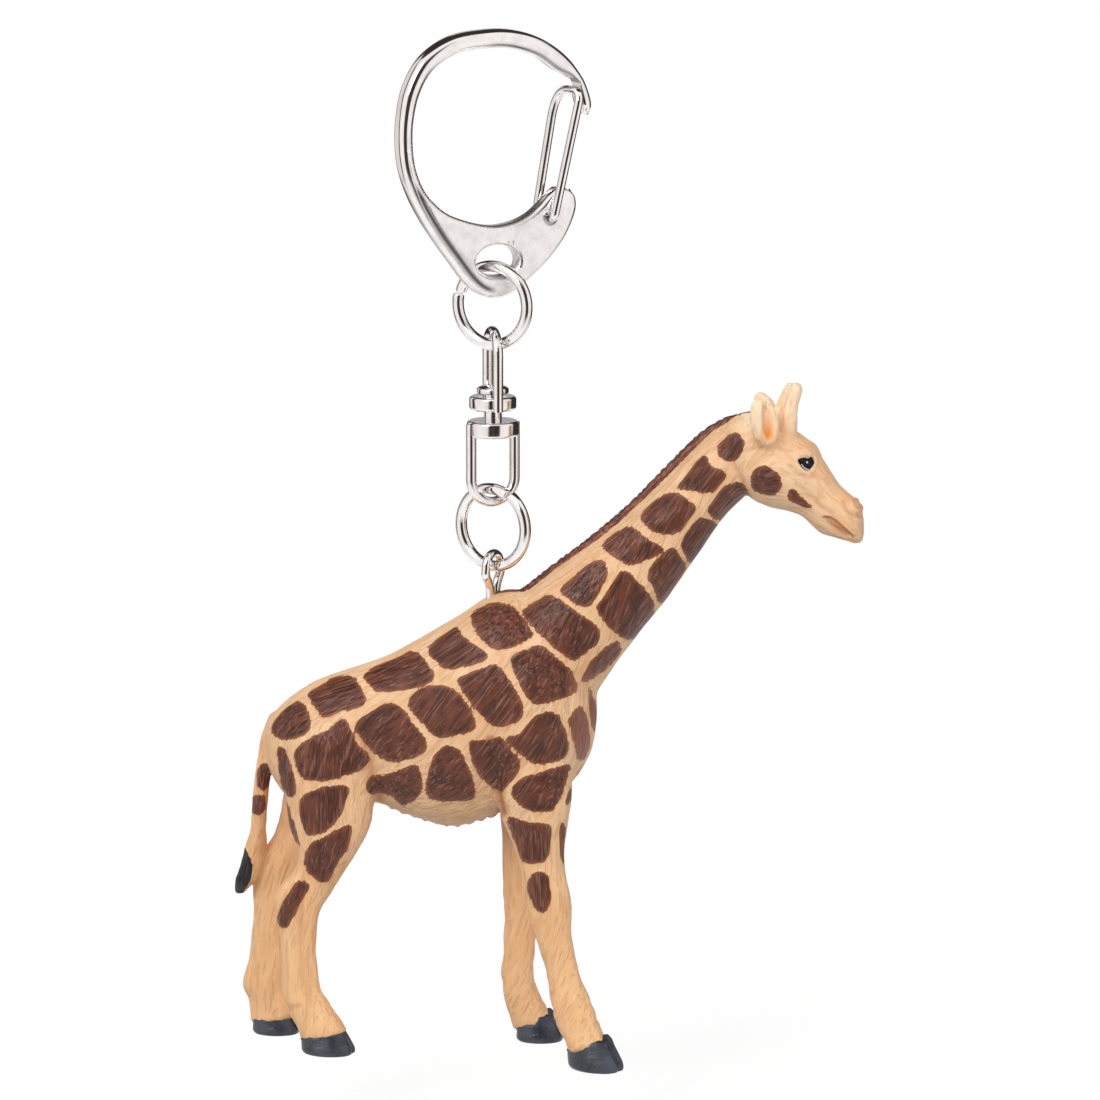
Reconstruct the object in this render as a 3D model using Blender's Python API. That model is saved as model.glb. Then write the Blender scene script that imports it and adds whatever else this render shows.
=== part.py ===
"""Giraffe key ring: a moulded giraffe figure on a swivel chain, hung from a die-cast snap hook.

Lengths are in metres. +X is the way the giraffe faces, +Y is its left side and +Z is up.
The origin is the inside top of the hook's bow, where the key ring hangs.
"""

import math

import bmesh
import bpy
import numpy as np
from mathutils import Matrix, Vector

# Gaps between pieces
RUN_GAP = 0.0003
SEAT_GAP = 0.00015
CUT_OVERRUN = 0.002

# Snap hook, a die casting
HOOK_HEIGHT = 0.0330
HOOK_WIDTH = 0.0258
HOOK_THICKNESS = 0.0028
PLATE_THICKNESS = 0.0025
PLATE_EDGE = 0.00045
BOW_TOP_WIDTH = 0.0024
HOLE_WIDTH = 0.0062
HOLE_HEIGHT = 0.0041
HOLE_EDGE = 0.0005
WEB_HEIGHT = 0.0025
HOOK_YAW = math.radians(36)

# Gate, a loop of spring wire
GATE_WIRE = 0.0011
GATE_HOLE = 0.0020
GATE_END_DEPTH = 0.0009
GATE_CORNER = 0.0009
GATE_TOP_CORNER = 0.0021
NOTCH_RADIUS = 0.00135

# Jump rings
RING_OUTER = 0.01125
RING_WIRE = 0.00145
RING_SPLIT = 0.0003
RING_STEP = 0.0004
UPPER_RING_YAW = math.radians(-20)
LOWER_RING_YAW = math.radians(-26)

# Swivel
YOKE_HEIGHT = 0.01075
YOKE_SPACING = 0.0060
YOKE_WIRE = 0.0013
DISC_DIAMETER = 0.0059
LOWER_DISC_DIAMETER = 0.0065
DISC_HEIGHT = 0.0020
DISC_EDGE = 0.0004
DISC_SPACING = 0.0011
LOWER_YOKE_HEIGHT = 0.0110
PIN_DIAMETER = 0.00225
RIVET_HEAD = 0.0040
RIVET_DOME = 0.0015
UPPER_YOKE_YAW = math.radians(-67)
LOWER_YOKE_YAW = math.radians(36)

# Eye, a bent wire whose two ends are set in the figure's back
EYE_WIRE = 0.0011
EYE_WIDTH = 0.0046
EYE_STAND = 0.0055
EYE_DEPTH = 0.0070
EYE_STRAND_GAP = 0.0003
EYE_YAW = math.radians(70)

# Giraffe, one moulding
FIGURE_HEIGHT = 0.0875
SKIN_VOXEL = 0.00048
SKIN_FACES_SHARE = 0.073
SKIN_SMOOTHING_SHARE = 0.5
SKIN_SMOOTHINGS = 7

# The figure is drawn on a grid of 875 cells to its height, with x ahead and z above the soles.
# It hangs level, so its centre of mass lies under the eye: the grid is set that much ahead of the eye.
GRID_SHARE = 1 / 875
BACK_SHARE = 592 / 875
AHEAD_SHARE = 3 / 875

# Torso: x, top, bottom, half width
TORSO_SHARES = (
    (-294, 408, 376, 12),
    (-284, 428, 345, 32),
    (-265, 447, 322, 44),
    (-235, 468, 308, 55),
    (-195, 484, 308, 63),
    (-150, 500, 318, 70),
    (-100, 526, 305, 80),
    (-50, 556, 297, 90),
    (0, 588, 312, 93),
    (40, 590, 322, 91),
    (80, 566, 338, 80),
    (105, 536, 362, 63),
    (121, 505, 392, 38),
    (128, 470, 425, 9),
)

# Neck: x, z, half depth, half width
NECK_SHARES = (
    (40, 480, 80, 72),
    (86, 536, 74, 66),
    (136, 590, 64, 55),
    (180, 633, 55, 47),
    (221, 680, 47, 43),
    (260, 727, 42, 40),
    (294, 763, 43, 41),
    (322, 786, 36, 38),
)

# Head: x, top, bottom, half width
HEAD_SHARES = (
    (286, 800, 752, 17),
    (298, 822, 736, 35),
    (320, 830, 726, 45),
    (345, 828, 715, 49),
    (370, 813, 710, 48),
    (390, 799, 703, 43),
    (405, 786, 690, 37),
    (416, 764, 684, 33),
    (430, 744, 679, 30),
    (445, 730, 676, 28),
    (456, 721, 676, 24),
    (462, 706, 684, 13),
)

# Legs: x, y, z, half length, half width
NEAR_HIND_SHARES = (
    (-200, -34, 410, 62, 31),
    (-204, -42, 336, 57, 30),
    (-204, -46, 296, 51, 28),
    (-207, -48, 261, 37, 25),
    (-218, -46, 236, 32, 22),
    (-239, -45, 206, 35, 19),
    (-247, -45, 181, 28, 17),
    (-246, -45, 136, 23, 15),
    (-243, -45, 90, 24, 15),
    (-236, -46, 66, 28, 18),
    (-224, -46, 46, 30, 20),
    (-215, -46, 30, 31, 23),
    (-207, -46, 6, 34, 26),
    (-207, -46, -20, 33, 25),
)
FAR_HIND_SHARES = (
    (-215, 34, 410, 58, 31),
    (-225, 42, 336, 54, 30),
    (-238, 46, 296, 48, 28),
    (-252, 48, 262, 42, 25),
    (-274, 46, 236, 37, 22),
    (-286, 45, 214, 35, 19),
    (-293, 45, 190, 28, 17),
    (-300, 45, 140, 23, 15),
    (-303, 45, 100, 24, 15),
    (-307, 45, 64, 30, 18),
    (-299, 46, 44, 30, 20),
    (-295, 46, 28, 31, 23),
    (-293, 46, 6, 33, 26),
    (-293, 46, -20, 32, 25),
)
NEAR_FRONT_SHARES = (
    (45, -38, 410, 58, 38),
    (55, -48, 345, 50, 36),
    (63, -54, 296, 36, 27),
    (70, -58, 256, 28, 22),
    (79, -60, 216, 27, 21),
    (83, -61, 176, 24, 17),
    (91, -62, 141, 22, 15),
    (99, -63, 106, 24, 16),
    (109, -64, 71, 29, 19),
    (121, -65, 49, 28, 20),
    (131, -66, 32, 30, 23),
    (140, -67, 6, 36, 27),
    (141, -67, -20, 35, 26),
)
FAR_FRONT_SHARES = (
    (40, 38, 410, 54, 38),
    (38, 48, 345, 46, 36),
    (31, 54, 296, 34, 27),
    (28, 58, 256, 28, 22),
    (27, 60, 216, 26, 21),
    (26, 61, 176, 24, 17),
    (24, 62, 130, 21, 15),
    (24, 63, 86, 24, 16),
    (26, 64, 62, 26, 19),
    (35, 65, 42, 28, 21),
    (42, 66, 26, 31, 24),
    (46, 67, 6, 34, 27),
    (46, 67, -20, 33, 26),
)

# Tail, with its tuft: x, y, z, radius
TAIL_SHARES = (
    (-278, 0, 424, 14),
    (-290, 0, 396, 12),
    (-294, 1, 368, 11),
    (-299, 4, 338, 11),
    (-304, 10, 302, 10),
    (-309, 18, 268, 11),
    (-313, 26, 240, 15),
    (-319, 28, 216, 15),
    (-328, 26, 194, 8),
)

# Ear on the near side, from base to tip: x, y, z, half width, half thickness
EAR_SHARES = (
    (350, -30, 786, 9, 9),
    (347, -38, 808, 15, 10),
    (341, -44, 828, 16, 8),
    (335, -49, 844, 11, 7),
    (330, -52, 855, 4, 3),
)
EAR_TURN = math.radians(25)

# Horn on the near side, from base to tip: x, y, z, radius
HORN_SHARES = (
    (366, -16, 800, 11),
    (371, -17, 825, 9),
    (376, -18, 850, 9),
    (379, -18, 863, 11),
    (380, -18, 871, 7),
)

# Mane: x, z, height over the neck, half thickness
MANE_SHARES = (
    (10, 590, 6, 9),
    (44, 600, 12, 9),
    (82, 632, 14, 8),
    (128, 668, 14, 8),
    (178, 712, 14, 7),
    (228, 764, 14, 7),
    (268, 804, 14, 7),
    (300, 824, 12, 7),
    (322, 826, 8, 7),
)

# Snap hook outlines, as shares of half the width across and of the height down from the inside top
BOW_SHARES = (
    (-0.66, -0.640, 0.92),
    (-0.84, -0.510, 0.80),
    (-0.935, -0.365, 0.76),
    (-0.93, -0.255, 0.76),
    (-0.86, -0.140, 0.84),
    (-0.70, -0.042, 0.92),
    (-0.43, 0.020, 0.98),
    (-0.10, 0.038, 1.00),
    (0.18, 0.034, 1.00),
    (0.46, 0.000, 1.00),
    (0.70, -0.062, 1.00),
    (0.86, -0.140, 0.98),
    (0.925, -0.190, 0.82),
    (0.945, -0.232, 0.42),
)
PLATE_SHARES = (
    (-0.84, -0.430),
    (-0.70, -0.545),
    (-0.50, -0.610),
    (-0.26, -0.650),
    (0.00, -0.664),
    (0.26, -0.648),
    (0.46, -0.598),
    (0.59, -0.552),
    (0.68, -0.532),
    (0.78, -0.538),
    (0.85, -0.574),
    (0.85, -0.634),
    (0.745, -0.722),
    (0.58, -0.804),
    (0.36, -0.874),
    (0.16, -0.916),
    (0.00, -0.927),
    (-0.14, -0.914),
    (-0.30, -0.868),
    (-0.46, -0.800),
    (-0.62, -0.715),
    (-0.78, -0.620),
    (-0.91, -0.520),
    (-0.96, -0.440),
)
NEAR_HEEL_SHARES = (0.574, -0.645)
FAR_HEEL_SHARES = (0.560, -0.618)
NOTCH_SHARES = (0.800, -0.158)
GATE_NEAR_TOP_SHARES = (0.838, -0.168)
GATE_FAR_TOP_SHARES = (0.742, -0.168)

# Heights along the chain, each link hanging on the one above
HOOK_BOTTOM = BOW_TOP_WIDTH - HOOK_HEIGHT
WEB_TOP = HOOK_BOTTOM + WEB_HEIGHT
RING_RADIUS = (RING_OUTER - RING_WIRE) / 2
RING_BORE = RING_OUTER / 2 - RING_WIRE
UPPER_RING_Z = WEB_TOP + RUN_GAP - RING_BORE
YOKE_TOP = UPPER_RING_Z - RING_BORE + RUN_GAP + YOKE_WIRE
UPPER_DISC_BOTTOM = YOKE_TOP - YOKE_HEIGHT
UPPER_DISC_TOP = UPPER_DISC_BOTTOM + DISC_HEIGHT
LOWER_DISC_TOP = UPPER_DISC_BOTTOM - DISC_SPACING
LOWER_YOKE_BOTTOM = LOWER_DISC_TOP - LOWER_YOKE_HEIGHT
LOWER_RING_Z = LOWER_YOKE_BOTTOM + YOKE_WIRE + RUN_GAP - RING_BORE
EYE_TOP = LOWER_RING_Z - RING_BORE + RUN_GAP + EYE_WIRE
BACK_Z = EYE_TOP - EYE_STAND
SOLE_Z = BACK_Z - FIGURE_HEIGHT * BACK_SHARE


def material(name, colour, metallic, roughness):
    """A Principled BSDF material of one colour."""
    made = bpy.data.materials.new(name)
    made.use_nodes = True
    shader = made.node_tree.nodes["Principled BSDF"]
    shader.inputs["Base Color"].default_value = (*colour, 1)
    shader.inputs["Metallic"].default_value = metallic
    shader.inputs["Roughness"].default_value = roughness
    made.diffuse_color = (*colour, 1)
    return made


def mesh_object(name, bm, finish=None, smooth=True):
    """An object made from a bmesh, with its normals turned outwards."""
    bmesh.ops.recalc_face_normals(bm, faces=bm.faces)
    mesh = bpy.data.meshes.new(name)
    bm.to_mesh(mesh)
    bm.free()
    if smooth:
        mesh.shade_smooth()
    made = bpy.data.objects.new(name, mesh)
    bpy.context.collection.objects.link(made)
    if finish:
        mesh.materials.append(finish)
    return made


def cutter(made):
    """Marks an object as a cutter or a source of a Boolean, which isn't part of the product."""
    made.hide_render = True
    made.display_type = "WIRE"
    made["guide"] = True
    return made


def boolean(target, tool, operation):
    """Adds a Boolean of the object tool to the object target."""
    modifier = target.modifiers.new(f"{operation.lower()} {tool.name}", "BOOLEAN")
    modifier.operation = operation
    modifier.solver = "EXACT"
    modifier.object = cutter(tool)
    return modifier


def smooth_rows(rows, steps, closed=False):
    """Rows of values with steps rows in place of each, along a Catmull-Rom curve."""
    rows = np.array(rows, float)
    if closed:
        padded = np.vstack([rows[-1], rows, rows[0], rows[1]])
    else:
        padded = np.vstack([2 * rows[0] - rows[1], rows, 2 * rows[-1] - rows[-2]])
    found = []
    for first in range(len(padded) - 3):
        a, b, c, d = padded[first:first + 4]
        for step in range(steps):
            t = step / steps
            found.append(b + (c - a) * t / 2 + (2 * a - 5 * b + 4 * c - d) * t ** 2 / 2
                         + (3 * b - a - 3 * c + d) * t ** 3 / 2)
    if not closed:
        found.append(rows[-1])
    return np.array(found)


def loft(bm, sections, sides, power=2.0, closed=False):
    """Bridges sections, each a centre and two half axes, round a superellipse of the given power."""
    rings = []
    for centre, across, along in sections:
        ring = []
        for side in range(sides):
            angle = math.tau * (side + 0.5) / sides
            c = math.copysign(abs(math.cos(angle)) ** (2 / power), math.cos(angle))
            s = math.copysign(abs(math.sin(angle)) ** (2 / power), math.sin(angle))
            ring.append(bm.verts.new(Vector(centre) + c * Vector(across) + s * Vector(along)))
        rings.append(ring)
    pairs = list(zip(rings, rings[1:]))
    if closed:
        pairs.append((rings[-1], rings[0]))
    for low, high in pairs:
        for side in range(sides):
            after = (side + 1) % sides
            bm.faces.new((low[side], low[after], high[after], high[side]))
    if not closed:
        bm.faces.new(reversed(rings[0]))
        bm.faces.new(rings[-1])


def tube(bm, points, radius, sides):
    """A round bar along points, with flat ends."""
    points = [Vector(point) for point in points]
    tangents = [(points[min(i + 1, len(points) - 1)] - points[max(i - 1, 0)]).normalized()
                for i in range(len(points))]
    across = tangents[0].orthogonal().normalized()
    sections = []
    for point, tangent in zip(points, tangents):
        across = (across - tangent * across.dot(tangent)).normalized()
        sections.append((point, across * radius, tangent.cross(across) * radius))
    loft(bm, sections, sides)


def rounded(points, radii, steps):
    """A path whose inner corners are turned into curves that start at each one's radius from the corner."""
    points = [Vector(point) for point in points]
    path = [points[0]]
    for before, corner, after, radius in zip(points, points[1:], points[2:], radii):
        start = corner + (before - corner).normalized() * min(radius, (before - corner).length / 2)
        end = corner + (after - corner).normalized() * min(radius, (after - corner).length / 2)
        for step in range(steps + 1):
            t = step / steps
            path.append(start * (1 - t) ** 2 + corner * 2 * t * (1 - t) + end * t ** 2)
    path.append(points[-1])
    return path


def revolve(bm, profile, steps):
    """Spins a profile of radius and height, which starts and ends on the axis, round Z."""
    rings = []
    for radius, height in profile:
        if radius == 0:
            rings.append([bm.verts.new((0, 0, height))])
            continue
        angles = [math.tau * step / steps for step in range(steps)]
        rings.append([bm.verts.new((radius * math.cos(a), radius * math.sin(a), height)) for a in angles])
    for low, high in zip(rings, rings[1:]):
        for step in range(steps):
            after = (step + 1) % steps
            if len(low) == 1:
                bm.faces.new((low[0], high[after], high[step]))
            elif len(high) == 1:
                bm.faces.new((low[step], low[after], high[0]))
            else:
                bm.faces.new((low[step], low[after], high[after], high[step]))


def place(made, height, yaw):
    """Sets an object at a height on the chain's line, turned round it."""
    made.location = (0, 0, height)
    made.rotation_euler = (0, 0, yaw)


def hook_point(shares, depth):
    """A point of the hook's own frame, with the near face towards -Y."""
    across, down = shares
    return Vector((across * HOOK_WIDTH / 2, -depth, down * HOOK_HEIGHT))


def hook_bow(finish):
    """The bow, a bar of rounded section that tapers from its top to its side and its nose."""
    rows = smooth_rows(BOW_SHARES, 4)
    centres = [hook_point(row[:2], 0) for row in rows]
    sections = []
    for i, centre in enumerate(centres):
        tangent = (centres[min(i + 1, len(centres) - 1)] - centres[max(i - 1, 0)]).normalized()
        outwards = tangent.cross(Vector((0, 1, 0)))
        width = rows[i][2] * BOW_TOP_WIDTH / 2
        sections.append((centre, outwards * width, Vector((0, HOOK_THICKNESS / 2, 0))))
    tangent = (centres[-1] - centres[-2]).normalized()
    tip = centres[-1] + tangent * sections[-1][1].length
    sections.append((tip, sections[-1][1] / 2, sections[-1][2] / 2))
    bm = bmesh.new()
    loft(bm, sections, 14, power=2.8)
    return mesh_object("hook_body", bm, finish)


def hook_plate():
    """The fan-shaped plate under the bow, with its heel on the right."""
    bm = bmesh.new()
    outline = [hook_point(row, 0) for row in smooth_rows(PLATE_SHARES, 2, closed=True)]
    half = Vector((0, PLATE_THICKNESS / 2, 0))
    face = bm.faces.new([bm.verts.new(point - half) for point in outline])
    grown = bmesh.ops.extrude_face_region(bm, geom=[face])
    moved = [item for item in grown["geom"] if isinstance(item, bmesh.types.BMVert)]
    bmesh.ops.translate(bm, verts=moved, vec=half * 2)
    rims = [edge for edge in bm.edges if abs(edge.verts[0].co.y - edge.verts[1].co.y) < half.y]
    bmesh.ops.bevel(bm, geom=rims, offset=PLATE_EDGE, segments=2, profile=0.5, affect="EDGES")
    return mesh_object("hook plate", bm)


def hook_hole():
    """The cutter of the ring's hole, flared where it meets the plate's faces."""
    centre = Vector((0, 0, WEB_TOP + HOLE_HEIGHT / 2))
    half = PLATE_THICKNESS / 2
    sections = []
    for depth, flare in ((-half - HOLE_EDGE, 2 * HOLE_EDGE), (HOLE_EDGE - half, 0),
                         (half - HOLE_EDGE, 0), (half + HOLE_EDGE, 2 * HOLE_EDGE)):
        across = Vector((HOLE_WIDTH / 2 + flare, 0, 0))
        upwards = Vector((0, 0, HOLE_HEIGHT / 2 + flare))
        sections.append((centre + Vector((0, depth, 0)), across, upwards))
    bm = bmesh.new()
    loft(bm, sections, 28)
    return mesh_object("hook hole", bm)


def round_cut(name, start, end, diameter, sides):
    """A straight round cutter between two points."""
    bm = bmesh.new()
    tube(bm, (start, end), diameter / 2, sides)
    return mesh_object(name, bm)


def build_hook(finish):
    """The snap hook's body: bow, plate, ring hole, heel holes and the notch that stops the gate."""
    body = hook_bow(finish)
    parts = [(hook_plate(), "UNION"), (hook_hole(), "DIFFERENCE")]
    face = HOOK_THICKNESS / 2 + CUT_OVERRUN
    floor = PLATE_THICKNESS / 2 - GATE_END_DEPTH - RUN_GAP
    near = (hook_point(NEAR_HEEL_SHARES, face), hook_point(NEAR_HEEL_SHARES, floor))
    far = (hook_point(FAR_HEEL_SHARES, -face), hook_point(FAR_HEEL_SHARES, -floor))
    notch = (hook_point(NOTCH_SHARES, face), hook_point(NOTCH_SHARES, -face))
    parts.append((round_cut("near heel hole", *near, GATE_HOLE, 20), "DIFFERENCE"))
    parts.append((round_cut("far heel hole", *far, GATE_HOLE, 20), "DIFFERENCE"))
    parts.append((round_cut("nose notch", *notch, 2 * NOTCH_RADIUS, 24), "DIFFERENCE"))
    for tool, operation in parts:
        boolean(body, tool, operation)
        place(tool, 0, HOOK_YAW)
    place(body, 0, HOOK_YAW)


def gate_pivot():
    """The point midway between the heel holes, in the hook's frame."""
    return (hook_point(NEAR_HEEL_SHARES, 0) + hook_point(FAR_HEEL_SHARES, 0)) / 2


def build_gate(finish):
    """The gate: a closed-top loop of wire, its two ends turned into the heel holes."""
    side = HOOK_THICKNESS / 2 + RUN_GAP + GATE_WIRE / 2
    inside = PLATE_THICKNESS / 2 - GATE_END_DEPTH
    near_top = hook_point(GATE_NEAR_TOP_SHARES, side)
    far_top = hook_point(GATE_FAR_TOP_SHARES, -side)
    corners = [
        hook_point(NEAR_HEEL_SHARES, inside),
        hook_point(NEAR_HEEL_SHARES, side),
        near_top,
        far_top,
        hook_point(FAR_HEEL_SHARES, -side),
        hook_point(FAR_HEEL_SHARES, -inside),
    ]
    pivot = gate_pivot()
    radii = (GATE_CORNER, GATE_TOP_CORNER, GATE_TOP_CORNER, GATE_CORNER)
    path = [point - pivot for point in rounded(corners, radii, 5)]
    bm = bmesh.new()
    tube(bm, path, GATE_WIRE / 2, 12)
    made = mesh_object("gate_wire", bm, finish)
    turn = Matrix.Rotation(HOOK_YAW, 4, "Z")
    made.location = turn @ pivot
    made.rotation_euler = (0, 0, HOOK_YAW)


def build_ring(name, height, yaw, split_angle, finish):
    """A jump ring in its own XZ plane, cut through and with its ends stepped apart."""
    half_cut = (RING_SPLIT / 2) / RING_RADIUS
    path = []
    steps = 44
    for step in range(steps + 1):
        share = step / steps
        angle = split_angle + half_cut + (math.tau - 2 * half_cut) * share
        aside = RING_STEP * (share - 0.5)
        path.append((RING_RADIUS * math.cos(angle), aside, RING_RADIUS * math.sin(angle)))
    bm = bmesh.new()
    tube(bm, path, RING_WIRE / 2, 12)
    place(mesh_object(name, bm, finish), height, yaw)


def yoke_bar(name, top, bottom, finish):
    """A U of wire that ends in a disc, the bend at top and the feet at bottom, in its own frame."""
    reach = YOKE_SPACING / 2
    sign = math.copysign(1, top - bottom)
    bend = top - sign * (YOKE_WIRE / 2 + reach)
    path = [Vector((-reach, 0, bottom)), Vector((-reach, 0, bend))]
    steps = 12
    for step in range(1, steps):
        angle = math.pi * (1 - step / steps)
        path.append(Vector((reach * math.cos(angle), 0, bend + sign * reach * math.sin(angle))))
    path += [Vector((reach, 0, bend)), Vector((reach, 0, bottom))]
    bm = bmesh.new()
    tube(bm, path, YOKE_WIRE / 2, 12)
    return mesh_object(name, bm, finish)


def disc(name, diameter, bottom, top):
    """A solid disc with rounded rims."""
    radius = diameter / 2
    edge = DISC_EDGE
    soft = edge * (1 - math.sqrt(0.5))
    profile = (
        (0, bottom), (radius - edge, bottom), (radius - soft, bottom + soft), (radius, bottom + edge),
        (radius, top - edge), (radius - soft, top - soft), (radius - edge, top), (0, top),
    )
    bm = bmesh.new()
    revolve(bm, profile, 32)
    return mesh_object(name, bm)


def build_upper_yoke(finish):
    """The swivel's upper half: an inverted U on a disc that the rivet turns in."""
    foot = UPPER_DISC_BOTTOM - YOKE_TOP + DISC_EDGE
    body = yoke_bar("swivel_upper_yoke", 0, foot, finish)
    floor = UPPER_DISC_BOTTOM - YOKE_TOP
    plate = disc("upper disc", DISC_DIAMETER, floor, floor + DISC_HEIGHT)
    bore = round_cut("upper disc bore", (0, 0, floor - CUT_OVERRUN), (0, 0, floor + DISC_HEIGHT + CUT_OVERRUN),
                     PIN_DIAMETER + 2 * RUN_GAP, 24)
    for tool, operation in ((plate, "UNION"), (bore, "DIFFERENCE")):
        boolean(body, tool, operation)
        place(tool, YOKE_TOP, UPPER_YOKE_YAW)
    place(body, YOKE_TOP, UPPER_YOKE_YAW)


def build_lower_yoke(finish):
    """The swivel's lower half: a U under a disc with a blind seat for the rivet."""
    body = yoke_bar("swivel_lower_yoke", LOWER_YOKE_BOTTOM - LOWER_DISC_TOP, -DISC_EDGE, finish)
    plate = disc("lower disc", LOWER_DISC_DIAMETER, -DISC_HEIGHT, 0)
    seat = round_cut("lower disc seat", (0, 0, -rivet_seat() - SEAT_GAP), (0, 0, CUT_OVERRUN),
                     PIN_DIAMETER + 2 * SEAT_GAP, 24)
    for tool, operation in ((plate, "UNION"), (seat, "DIFFERENCE")):
        boolean(body, tool, operation)
        place(tool, LOWER_DISC_TOP, LOWER_YOKE_YAW)
    place(body, LOWER_DISC_TOP, LOWER_YOKE_YAW)


def rivet_seat():
    """How deep the rivet is set in the lower disc."""
    return DISC_HEIGHT - DISC_EDGE - SEAT_GAP


def build_rivet(finish):
    """The rivet: a domed head over the upper disc and a pin down into the lower one."""
    seat = UPPER_DISC_TOP + RUN_GAP - LOWER_DISC_TOP
    pin = PIN_DIAMETER / 2
    profile = [(0, -rivet_seat()), (pin, -rivet_seat()), (pin, seat), (RIVET_HEAD / 2, seat)]
    steps = 6
    skirt = RIVET_DOME / 3
    for step in range(steps):
        angle = math.pi / 2 * step / steps
        profile.append((RIVET_HEAD / 2 * math.cos(angle),
                        seat + skirt + (RIVET_DOME - skirt) * math.sin(angle)))
    profile.append((0, seat + RIVET_DOME))
    bm = bmesh.new()
    revolve(bm, profile, 28)
    place(mesh_object("swivel_rivet", bm, finish), LOWER_DISC_TOP, 0)


def eye_path():
    """The eye's wire, from the end of one strand up round the loop and down the other."""
    strand = (EYE_WIRE + EYE_STRAND_GAP) / 2
    reach = (EYE_WIDTH - EYE_WIRE) / 2
    loop_z = EYE_TOP - EYE_WIRE / 2 - reach
    path = [Vector((-strand, 0, BACK_Z - EYE_DEPTH)), Vector((-strand, 0, BACK_Z)),
            Vector((-reach, 0, loop_z - reach / 2)), Vector((-reach, 0, loop_z))]
    steps = 12
    for step in range(1, steps):
        angle = math.pi * (1 - step / steps)
        path.append(Vector((reach * math.cos(angle), 0, loop_z + reach * math.sin(angle))))
    path += [Vector((reach, 0, loop_z)), Vector((reach, 0, loop_z - reach / 2)),
             Vector((strand, 0, BACK_Z)), Vector((strand, 0, BACK_Z - EYE_DEPTH))]
    return path


def build_eye(finish):
    """The eye: one bent wire, its loop over the back and its two strands in the bore."""
    rows = smooth_rows([tuple(point) for point in eye_path()], 2)
    axis = Vector((0, 0, EYE_TOP - EYE_WIRE - RUN_GAP - RING_WIRE / 2))
    bm = bmesh.new()
    tube(bm, [Vector(row) - axis for row in rows], EYE_WIRE / 2, 12)
    place(mesh_object("eye_wire", bm, finish), axis.z, EYE_YAW)


def cell():
    """The side of one cell of the figure's grid."""
    return FIGURE_HEIGHT * GRID_SHARE


def figure_point(x, y, z):
    """A point of the figure, given in cells."""
    return Vector((x * cell() + FIGURE_HEIGHT * AHEAD_SHARE, y * cell(), SOLE_Z + z * cell()))


def upright_loft(bm, shares, steps, sides):
    """A loft along X, from rows of x, top, bottom and half width."""
    sections = []
    for x, top, bottom, width in smooth_rows(shares, steps):
        centre = figure_point(x, 0, (top + bottom) / 2)
        sections.append((centre, Vector((0, width * cell(), 0)), Vector((0, 0, (top - bottom) * cell() / 2))))
    loft(bm, sections, sides, power=2.15)


def neck_loft(bm):
    """The neck, its sections square to its middle line."""
    rows = smooth_rows(NECK_SHARES, 3)
    centres = [figure_point(x, 0, z) for x, z, _, _ in rows]
    sections = []
    for i, centre in enumerate(centres):
        tangent = (centres[min(i + 1, len(centres) - 1)] - centres[max(i - 1, 0)]).normalized()
        depth = tangent.cross(Vector((0, 1, 0))) * rows[i][2] * cell()
        sections.append((centre, Vector((0, rows[i][3] * cell(), 0)), depth))
    loft(bm, sections, 20)


def leg_loft(bm, shares):
    """A leg or its hoof, from level sections."""
    sections = []
    for x, y, z, length, width in smooth_rows(shares, 3):
        sections.append((figure_point(x, y, z), Vector((length * cell(), 0, 0)), Vector((0, width * cell(), 0))))
    loft(bm, sections, 16, power=2.2)


def round_loft(bm, shares, mirror=1):
    """A tapering round bar, from rows of x, y, z and radius."""
    rows = smooth_rows(shares, 3)
    centres = [figure_point(x, mirror * y, z) for x, y, z, _ in rows]
    across = Vector((0, 1, 0))
    sections = []
    for i, centre in enumerate(centres):
        tangent = (centres[min(i + 1, len(centres) - 1)] - centres[max(i - 1, 0)]).normalized()
        side = (across - tangent * across.dot(tangent)).normalized()
        sections.append((centre, side * rows[i][3] * cell(), tangent.cross(side) * rows[i][3] * cell()))
    loft(bm, sections, 12)


def ear_loft(bm, mirror):
    """An ear, a flat leaf that stands up and is turned to face ahead and outwards."""
    rows = smooth_rows(EAR_SHARES, 3)
    across = Vector((math.cos(EAR_TURN), mirror * math.sin(EAR_TURN), 0))
    through = Vector((-mirror * math.sin(EAR_TURN), math.cos(EAR_TURN), 0))
    sections = []
    for x, y, z, width, thickness in rows:
        centre = figure_point(x, mirror * y, z)
        sections.append((centre, across * width * cell(), through * thickness * cell()))
    loft(bm, sections, 14)


def mane_loft(bm):
    """The mane, a low ridge along the top of the neck."""
    rows = smooth_rows(MANE_SHARES, 3)
    sections = []
    for x, z, height, thickness in rows:
        centre = figure_point(x, 0, z - height)
        sections.append((centre, Vector((0, thickness * cell(), 0)), Vector((0, 0, height * cell()))))
    loft(bm, sections, 10)


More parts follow.
